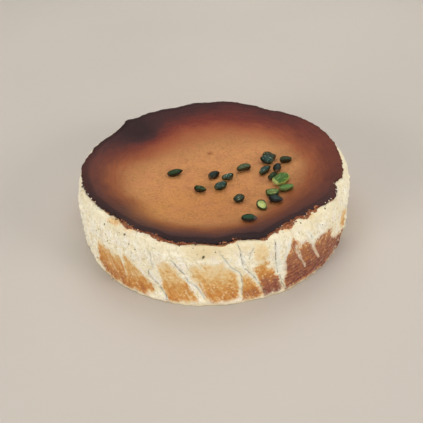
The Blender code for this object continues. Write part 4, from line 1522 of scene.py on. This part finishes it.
def crust_material(settings):
    """Caramel in the middle, browning outwards through red to nearly black."""
    recipe = Recipe("browned_crust")
    broad = recipe.grain(34 * MM, 2.0)
    blotch = recipe.grain(9 * MM, 4.0, 0.55)
    pore = recipe.grain(1.8 * MM, 4.0, 0.65)
    fine = recipe.grain(0.7 * MM, 2.0, 0.6)

    browning = recipe.kept("browning")
    rim_grain = recipe.times(recipe.swing(pore, 0.5, 0.53), recipe.spread(browning, 0.3, 0.9))
    depth = recipe.plus(
        browning,
        recipe.swing(broad, 0.16),
        recipe.swing(blotch, 0.14),
        recipe.swing(pore, 0.10),
        rim_grain,
        recipe.times(recipe.kept("streak"), 0.07),
    )
    depth = recipe.times(depth, 1 / 1.4)
    colour = with_middle_tints(recipe, depth, browned_colours(recipe, settings, depth))

    mottle = recipe.times(
        recipe.spread(pore, 0.3, 0.7, 0.79, 1.13),
        recipe.spread(blotch, 0.3, 0.7, 0.88, 1.06),
        recipe.spread(fine, 0.25, 0.6, 0.86, 1.05),
        recipe.spread(recipe.kept("lip"), 0.0, 1.0, 1.0, 0.5),
    )
    grey = recipe.ramp(mottle, ((0.0, (0, 0, 0)), (1.0, (1, 1, 1))))
    colour = recipe.blend(1.0, colour, grey, "MULTIPLY")
    # Darker spots in small pinholes and in the pit: painted shade in them.
    hole = recipe.spread(recipe.cells(4.6 * MM), 0.16, 0.05)
    hole = recipe.times(hole, recipe.spread(blotch, 0.5, 0.62, 0.0, 0.45))
    hole = recipe.number("MAXIMUM", hole, recipe.times(recipe.kept("pit"), 0.75))
    colour = recipe.blend(hole, colour, scaled(settings.mahogany, 1.1))
    torn = recipe.plus(recipe.kept("torn_edge"), recipe.swing(pore, 1.3))
    raw = recipe.blend(recipe.spread(fine, 0.35, 0.65), TORN_DARK, TORN_BRIGHT)
    colour = recipe.blend(recipe.spread(torn, 0.6, 1.0, 0.0, 0.85), colour, raw)

    recipe.relief(((blotch, 0.5 * MM), (pore, 0.28 * MM), (fine, 0.12 * MM)))
    roughness = recipe.spread(recipe.plus(depth, recipe.swing(pore, 0.3)), 0.1, 0.9, 0.50, 0.42)
    return recipe.finish(colour, roughness, Specular_IOR_Level=0.11)


def kernel_material(number, colouring, highlight_share):
    """Darker skin with painted shade on the sides, a greener upper side painted lighter as if lit,
    bright streaks that are painted highlights, lengthwise wrinkles with painted shade in their
    hollows, and a soft gloss.
    """
    shaded_flank, face, streak, tip = COLOURINGS[colouring]
    recipe = Recipe(f"pistachio_skin_{number:02d}")
    own = recipe.kept("own_place", "Vector")
    patch = recipe.grain(3.0 * MM, 3.0, 0.6, (0.7, 1, 1), own)
    wrinkle = recipe.grain(1.0 * MM, 3.0, 0.6, (0.3, 1, 1), own)
    fine = recipe.grain(0.35 * MM, 2.0, 0.5, (1, 1, 1), own)

    # The upper side is painted lighter as if lit, over its greener flesh; the sides keep the darker skin
    # and painted shade.
    lit = recipe.plus(recipe.kept("upper"), recipe.swing(patch, 1.5), recipe.swing(wrinkle, 0.5))
    lit = recipe.spread(lit, 0.4, 0.85)
    colour = recipe.blend(lit, shaded_flank, face)
    # Painted shade in the hollows of the wrinkles, which are also in the relief.
    groove_shade = recipe.spread(wrinkle, 0.52, 0.3, 0.0, 0.55)
    colour = recipe.blend(groove_shade, colour, scaled(shaded_flank, 0.8))
    # Bright streaks on the lit side are painted highlights.
    edge = 0.66 - 0.14 * highlight_share
    bright = recipe.spread(recipe.plus(wrinkle, recipe.swing(patch, 0.35)), edge, edge + 0.06)
    colour = recipe.blend(recipe.times(bright, lit, 0.9), colour, streak)
    ends = recipe.plus(recipe.kept("tips"), recipe.swing(patch, 0.6))
    colour = recipe.blend(recipe.spread(ends, 0.35, 1.0, 0.0, 0.85), colour, tip)
    colour = recipe.blend(recipe.times(recipe.kept("seam"), 0.7), colour, scaled(tip, 0.8))
    flesh = recipe.blend(recipe.spread(patch, 0.35, 0.65), scaled(face, 0.85), streak)
    colour = recipe.blend(recipe.times(recipe.kept("cut_face"), 0.92), colour, flesh)

    recipe.relief(((wrinkle, 0.35 * MM), (fine, 0.05 * MM)))
    roughness = recipe.spread(wrinkle, 0.3, 0.7, 0.16, 0.30)
    return recipe.finish(colour, roughness, Specular_IOR_Level=0.12)


def crumb_material(name, dark, light, roughness, size):
    """Loose bits whose colour runs between two shades in blotches of this size."""
    recipe = Recipe(name)
    grain = recipe.grain(size, 4.0, 0.6)
    colour = recipe.blend(recipe.spread(grain, 0.36, 0.64), dark, light)
    recipe.relief(((recipe.grain(0.4 * MM, 2.0), 0.15 * MM),))
    return recipe.finish(colour, recipe.spread(grain, 0.3, 0.7, roughness - 0.08, roughness + 0.1))


def floor_material(colour):
    """Plain pale matt sheet with a hint of unevenness."""
    recipe = Recipe("plain_floor")
    cloud = recipe.grain(0.45, 2.0)
    tone = recipe.blend(recipe.spread(cloud, 0.3, 0.7), scaled(colour, 0.97), scaled(colour, 1.03))
    recipe.relief(((recipe.grain(1.2 * MM, 2.0), 0.02 * MM),))
    return recipe.finish(tone, recipe.spread(cloud, 0.3, 0.7, 0.6, 0.66), Specular_IOR_Level=0.3)


# ---- Kernels ---------------------------------------------------------------------------------


def kernel_points(sizes, half, tail, seed, wrinkle_depth):
    """The points and faces of one kernel along +X, with its narrow end ahead, and what its
    material needs at each point."""
    length, width, thickness, bend, point = sizes
    rings = []
    for ring in range(KERNEL_RINGS + 1):
        turn = math.pi * ring / KERNEL_RINGS
        count = 1 if ring in (0, KERNEL_RINGS) else KERNEL_SEGMENTS
        rings.append((math.sin(turn), -math.cos(turn), count))
    ball, faces = turned_surface(rings)
    along, across, up = ball[:, 2], ball[:, 0], ball[:, 1]
    around = np.arctan2(up, across)

    narrow = 1.0 - KERNEL_TAPER * along - point * np.maximum(along, 0.0) ** 2
    if point < BLUNT_BELOW:
        narrow = narrow * np.maximum(1.0 - along**2, 0.03) ** -KERNEL_BLUNTNESS
    from_seam = np.minimum(np.abs(around), math.pi - np.abs(around))
    seam = np.exp(-((from_seam / SEAM_WIDTH) ** 2)) * (1.0 - along**2)
    lip_turn, lip_width, lip_side, lip_top = SEAM_LIPS
    lips = np.exp(-(((from_seam - lip_turn) / lip_width) ** 2)) * (1.0 - along**2)
    ribs = np.stack([along * 0.9 + seed * 7.3, np.cos(around) * 2.4, np.sin(around) * 2.4], 1)
    wrinkle = noise_at(ribs, 0.9) + 0.6 * noise_at(ribs + 3.1, 0.45)
    dents = noise_at(ball + seed * 1.7, 0.9)
    swell = 1.0 + (wrinkle * wrinkle_depth + dents * DENT_DEPTH) / (thickness / 2)
    across = across * narrow * (1.0 - SEAM_DEPTH * seam + lip_side * lips) * swell
    up = up * narrow * (1.0 + lip_top * lips) * swell

    cut = flesh = np.zeros(len(ball))
    if half:
        depth, half_width = HALF_HOLLOW
        cut = smooth_step(HALF_FACE * 0.9, HALF_FACE * 1.6, up)
        flesh = cut * smooth_step(0.86, 0.62, np.hypot(along, across))
        hollow = np.exp(-((across / half_width) ** 2)) * smooth_step(0.85, 0.5, np.abs(along))
        up = np.minimum(up, HALF_FACE + 0.03 * dents) - cut * depth * hollow
    across = across + KERNEL_BEND * bend * (along**2 - 0.4)
    points = np.stack([along * length / 2, across * width / 2, up * thickness / 2], 1)
    rounded = np.sqrt(along**2 + 0.35 * np.cos(around) ** 2 * (1 - along**2))
    values = {
        "tips": smooth_step(0.3, 0.85, along) if tail else smooth_step(0.62, 1.0, rounded),
        "seam": seam * (1 - cut),
        "cut_face": flesh,
        "own_place": points + seed * 0.037,
    }
    return points, faces, values


def dish_normal(x, y):
    """The upright direction of the dished top at a place."""
    radius = max(math.hypot(x, y), MM)
    step = 0.5 * MM
    slope = float(dish_height(radius + step) - dish_height(radius - step)) / (2 * step)
    return Vector((-slope * x / radius, -slope * y / radius, 1.0)).normalized()


def build_kernel(number, row, settings):
    """One kernel in the place of its solid, settled onto the crust."""
    x, y, length, width, thickness, heading, roll, bend, point, colouring, highlight_share = row
    sizes = (length * MM, width * MM, thickness * MM, bend, point)
    half, tail = number == HALF_KERNEL, number == TAILED_KERNEL
    points, faces, values = kernel_points(sizes, half, tail, number, settings.wrinkle_depth)
    stand = Vector((0, 0, 1)).rotation_difference(dish_normal(x * MM, y * MM)).to_matrix()
    turns = [math.radians(turn) for turn in (roll, HALF_PITCH if half else 0.0, heading)]
    turned = np.array(stand @ Euler(turns, "XYZ").to_matrix()).T

    out = points / (np.array([length, width, thickness]) * MM / 2) ** 2
    out = out / np.maximum(np.linalg.norm(out, axis=1, keepdims=True), 1e-6)
    values["upper"] = smooth_step(0.5, 0.95, (out @ turned) @ np.array(LIT_FACE_DIRECTION))
    points = points @ turned
    lowest, highest = (np.array(corner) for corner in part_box(f"pistachio_{number:02d}"))
    points += (lowest + highest) / 2 - (points.min(axis=0) + points.max(axis=0)) / 2
    points[:, 2] += lowest[2] - points[:, 2].min() - settings.settle
    kernel = mesh_object(f"kernel_{number:02d}", points, faces, values)
    kernel.data.materials.append(kernel_material(number, colouring, highlight_share))
    return kernel


# ---- Crumbs, flakes and specks ---------------------------------------------------------------


def tree_of(item):
    """An object's surface, for rays."""
    places = [vertex.co for vertex in item.data.vertices]
    faces = [tuple(face.vertices) for face in item.data.polygons]
    return BVHTree.FromPolygons(places, faces)


def from_outside(tree, angle, height):
    """Where a level ray from outside meets a surface, and the surface's direction there."""
    start = outward(angle) * 0.2 + Vector((*FOOTPRINT_SHIFT, height))
    return tree.ray_cast(start, -outward(angle))[:2]


def add_bit(shape, place, direction, sizes, draw, rounds):
    """Add one irregular bit to a mesh, lying along a direction."""
    turn = direction.to_track_quat("Z", "Y").to_matrix().to_4x4()
    spin = Matrix.Rotation(draw.uniform(0, 2 * math.pi), 4, "Z")
    made = bmesh.ops.create_icosphere(shape, subdivisions=rounds, radius=0.5)
    offset = Vector((draw.random(), draw.random(), draw.random())) * 9
    laid = Matrix.Translation(place) @ turn @ spin @ Matrix.Diagonal((*sizes, 1.0))
    for vertex in made["verts"]:
        bump = 0.5 * noise.noise(vertex.co * 3.4 + offset)
        bump += 0.25 * noise.noise(vertex.co * 8 + offset)
        vertex.co = laid @ (vertex.co * (1.0 + bump))


def bits_object(name, shape, finish):
    """Turn loose bits into one finished piece, by a row of finishes above."""
    mesh = bpy.data.meshes.new(name)
    shape.to_mesh(mesh)
    shape.free()
    mesh.shade_smooth()
    mesh.materials.append(crumb_material(name, *finish))
    item = bpy.data.objects.new(name, mesh)
    bpy.context.scene.collection.objects.link(item)
    return item


def crumb_place(draw):
    """A place for one crumb, as its angle and how far it may lie beyond the crust's edge."""
    if draw.random() < EVEN_CRUMBS:
        first, last = draw.choices(TORN, [last - first for first, last in TORN])[0]
        return draw.uniform(first, last), 0.4 * MM
    weights = [spread * reach for _, spread, reach in TORN_SPOTS]
    spot, spread, reach = draw.choices(TORN_SPOTS, weights)[0]
    return draw.gauss(spot, spread * 0.6), reach * MM


def curd_place(draw):
    """A place for one bit of pale curd, as its angle and how far it may lie beyond the edge."""
    first, last = draw.choices(CURDY, [last - first for first, last in CURDY])[0]
    return draw.uniform(first, last), 0.7 * MM


def build_edge_crumbs(settings, trees, name, count, size_share, place_of, finish):
    """Bits along the crust's edge, each dropped onto the body or the crust: brown crumbs where it
    is torn, or smaller ones of pale curd."""
    draw = random.Random(CRUMB_SEED)
    shape = bmesh.new()
    for _ in range(count):
        angle, reach = place_of(draw)
        edge = from_outside(trees[1], angle, CRUST_HEIGHT - 0.4 * MM)[0]
        if edge is None:
            continue
        beyond = draw.uniform(-0.7 * MM * size_share, reach)
        above = edge + outward(angle) * beyond + Vector((0, 0, 6 * MM))
        found = [tree.ray_cast(above, Vector((0, 0, -1)))[0] for tree in trees]
        found = [place for place in found if place is not None]
        if not found:
            continue
        ground = max(found, key=lambda place: place.z)
        size = settings.crumb_size * size_share * draw.choice(CRUMB_SIZES)
        lift = Vector((0, 0, size * 0.15 * (2 * size_share - 1)))
        sizes = (size * draw.uniform(0.9, 1.8), size, size * draw.uniform(0.4, 0.7))
        tilt = Vector((draw.uniform(-0.5, 0.5), draw.uniform(-0.5, 0.5), 1.0)).normalized()
        add_bit(shape, ground + lift, tilt, sizes, draw, 1)
    return bits_object(name, shape, finish)


def build_foot_flakes(tree):
    """Flakes of pale cake that stand out at the foot of the wall."""
    draw = random.Random(FLAKE_SEED)
    shape = bmesh.new()
    for angle, height, reach, length, thickness in FLAKES:
        place = from_outside(tree, angle, height * MM)[0]
        if place is None:
            continue
        place = place + outward(angle) * reach * MM * 0.5
        place.z = max(place.z, thickness * MM * 0.55)
        sizes = (length * MM, (1.2 + reach) * MM, thickness * MM)
        add_bit(shape, place, Vector((0, 0, 1)), sizes, draw, 3)
    return bits_object("foot_flakes", shape, FOOT_FLAKE)


def build_specks(settings, tree):
    """Dark specks of pistachio in the pale wall: the named ones, and more by chance."""
    draw = random.Random(SPECK_SEED)
    shape = bmesh.new()
    places = list(SPECKS)
    for _ in range(settings.speck_count):
        height = 56 - 40 * draw.random() ** 1.6
        places.append((draw.uniform(0, 360), height, draw.uniform(0.35, 0.9)))
    for angle, height, size in places:
        place, direction = from_outside(tree, angle, height * MM)
        if place is None:
            continue
        size *= MM
        sizes = (size * draw.uniform(1.0, 1.7), size, size * 0.5)
        add_bit(shape, place, direction, sizes, draw, 1 if size < MM else 2)
    return bits_object("pistachio_specks", shape, SPECK)


# ---- Stage -----------------------------------------------------------------------------------


def build_floor(settings):
    """A plain floor that curves up far away on every side."""
    rings = [(0.0, 0.0, 1)]
    rings += [(radius, 0.0, FLOOR_SEGMENTS) for radius in FLOOR_RADII]
    for step in range(1, FLOOR_STEPS + 1):
        turn = math.pi / 2 * step / FLOOR_STEPS
        radius = FLOOR_RADII[-1] + FLOOR_CURVE * math.sin(turn)
        rings.append((radius, FLOOR_CURVE - FLOOR_CURVE * math.cos(turn), FLOOR_SEGMENTS))
    rings.append((FLOOR_RADII[-1] + FLOOR_CURVE, FLOOR_TOP, FLOOR_SEGMENTS))
    points, faces = turned_surface(rings)
    floor = mesh_object("floor", points, [face[::-1] for face in faces])
    floor.data.materials.append(floor_material(settings.floor))
    return floor


def add_light(name, power, size, place, aim, colour, beam):
    """One large soft square light that looks at a point, with its beam this wide in degrees."""
    light = bpy.data.lights.new(name, "AREA")
    light.energy = power
    light.spread = math.radians(beam)
    light.shape = "SQUARE"
    light.size = size
    light.color = colour
    lamp = bpy.data.objects.new(name, light)
    lamp.location = place
    direction = Vector(aim) - Vector(place)
    lamp.rotation_mode = "QUATERNION"
    lamp.rotation_quaternion = direction.to_track_quat("-Z", "Y")
    bpy.context.scene.collection.objects.link(lamp)


def add_camera():
    """The camera, at the photograph's angle."""
    data = bpy.data.cameras.new("camera")
    data.lens = CAMERA_LENS
    data.sensor_width = CAMERA_SENSOR
    data.clip_start = 0.01
    camera = bpy.data.objects.new("camera", data)
    camera.matrix_world = Matrix(CAMERA_ROWS)
    bpy.context.scene.collection.objects.link(camera)
    bpy.context.scene.camera = camera


def light_room(settings):
    """Plain soft light from all round."""
    world = bpy.data.worlds.new("room")
    world.use_nodes = True
    room = world.node_tree.nodes["Background"]
    room.inputs["Color"].default_value = ROOM_COLOUR
    room.inputs["Strength"].default_value = settings.room_light
    bpy.context.scene.world = world


# ---- Operators -------------------------------------------------------------------------------


def show(piece, slot, *nodes):
    """Let a piece ride with the cake and stand for its solids. The slot is not used."""
    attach(piece, "root")
    if nodes:
        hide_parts(*nodes)


def piece_named(name):
    """A piece that another operator has made."""
    if name not in bpy.data.objects:
        raise RuntimeError(f"{name} isn't built yet: run its own operator first")
    return bpy.data.objects[name]


class CHEESECAKE_OT_body(bpy.types.Operator):
    """Build the pale baked body with its creases and toasted patches"""

    bl_idname = "cheesecake.body"
    bl_label = "Baked Body"
    bl_options = {"REGISTER", "UNDO"}

    def execute(self, context):
        show(build_body(context.scene.cake_settings), "baked_cake", "cheesecake")
        return {"FINISHED"}


class CHEESECAKE_OT_crust(bpy.types.Operator):
    """Build the browned crust that lies over the body"""

    bl_idname = "cheesecake.crust"
    bl_label = "Browned Crust"
    bl_options = {"REGISTER", "UNDO"}

    def execute(self, context):
        show(build_crust(context.scene.cake_settings), "baked_cake", "cheesecake")
        return {"FINISHED"}


class CHEESECAKE_OT_kernels(bpy.types.Operator):
    """Build the pistachio kernels in the places of their solids"""

    bl_idname = "cheesecake.kernels"
    bl_label = "Pistachio Kernels"
    bl_options = {"REGISTER", "UNDO"}

    def execute(self, context):
        for number, row in enumerate(KERNELS, start=1):
            kernel = build_kernel(number, row, context.scene.kernel_settings)
            slot = "pistachio_green" if number in GREEN_KERNELS else "pistachio_dark"
            show(kernel, slot, f"pistachio_{number:02d}")
        return {"FINISHED"}


class CHEESECAKE_OT_crumbs(bpy.types.Operator):
    """Build the crumbs of the torn edge, the flakes at the foot and the specks in the wall"""

    bl_idname = "cheesecake.crumbs"
    bl_label = "Crumbs and Specks"
    bl_options = {"REGISTER", "UNDO"}

    def execute(self, context):
        settings = context.scene.crumb_settings
        body, crust = piece_named("cheesecake_body"), piece_named("browned_crust")
        trees = tree_of(body), tree_of(crust)
        for name, *rest in (
            ("edge_crumbs", settings.crumb_count, 1.0, crumb_place, TORN_CRUMB),
            ("curd_crumbs", settings.curd_count, CURD_SIZE, curd_place, CURD_CRUMB),
        ):
            show(build_edge_crumbs(settings, trees, name, *rest), "baked_cake")
        show(build_foot_flakes(trees[0]), "baked_cake")
        show(build_specks(settings, trees[0]), "pistachio_dark")
        return {"FINISHED"}


class CHEESECAKE_OT_stage(bpy.types.Operator):
    """Build the plain floor, the soft light and the camera"""

    bl_idname = "cheesecake.stage"
    bl_label = "Floor, Light and Camera"
    bl_options = {"REGISTER", "UNDO"}

    def execute(self, context):
        settings = context.scene.stage_settings
        build_floor(settings)
        light_room(settings)
        for name, power, *rest in LIGHTS:
            add_light(name, getattr(settings, power), *rest)
        add_camera()
        context.scene.view_settings.view_transform = "Standard"
        return {"FINISHED"}


class CHEESECAKE_PT_sidebar(bpy.types.Panel):
    """Sizes, colours and building steps of the cheesecake"""

    bl_idname = "CHEESECAKE_PT_sidebar"
    bl_label = "Cheesecake"
    bl_space_type = "VIEW_3D"
    bl_region_type = "UI"
    bl_category = "Cheesecake"

    def draw(self, context):
        for operator in OPERATORS:
            self.layout.operator(operator.bl_idname)
        for name, group in SETTINGS.items():
            box = self.layout.box()
            for label in group.__annotations__:
                box.prop(getattr(context.scene, name), label)


OPERATORS = (
    CHEESECAKE_OT_body,
    CHEESECAKE_OT_crust,
    CHEESECAKE_OT_kernels,
    CHEESECAKE_OT_crumbs,
    CHEESECAKE_OT_stage,
)
SETTINGS = {
    "cake_settings": CakeSettings,
    "kernel_settings": KernelSettings,
    "crumb_settings": CrumbSettings,
    "stage_settings": StageSettings,
}


def register():
    """Make the settings, the operators and the panel known to Blender."""
    for name, group in SETTINGS.items():
        bpy.utils.register_class(group)
        setattr(bpy.types.Scene, name, PointerProperty(type=group))
    for item in (*OPERATORS, CHEESECAKE_PT_sidebar):
        bpy.utils.register_class(item)


def unregister():
    """Take them away again."""
    for item in (CHEESECAKE_PT_sidebar, *reversed(OPERATORS)):
        bpy.utils.unregister_class(item)
    for name, group in SETTINGS.items():
        delattr(bpy.types.Scene, name)
        bpy.utils.unregister_class(group)


def main():
    """Build every piece and the stage, in order."""
    register()
    bpy.ops.cheesecake.body()
    bpy.ops.cheesecake.crust()
    bpy.ops.cheesecake.kernels()
    bpy.ops.cheesecake.crumbs()
    bpy.ops.cheesecake.stage()


if __name__ == "__main__":
    main()
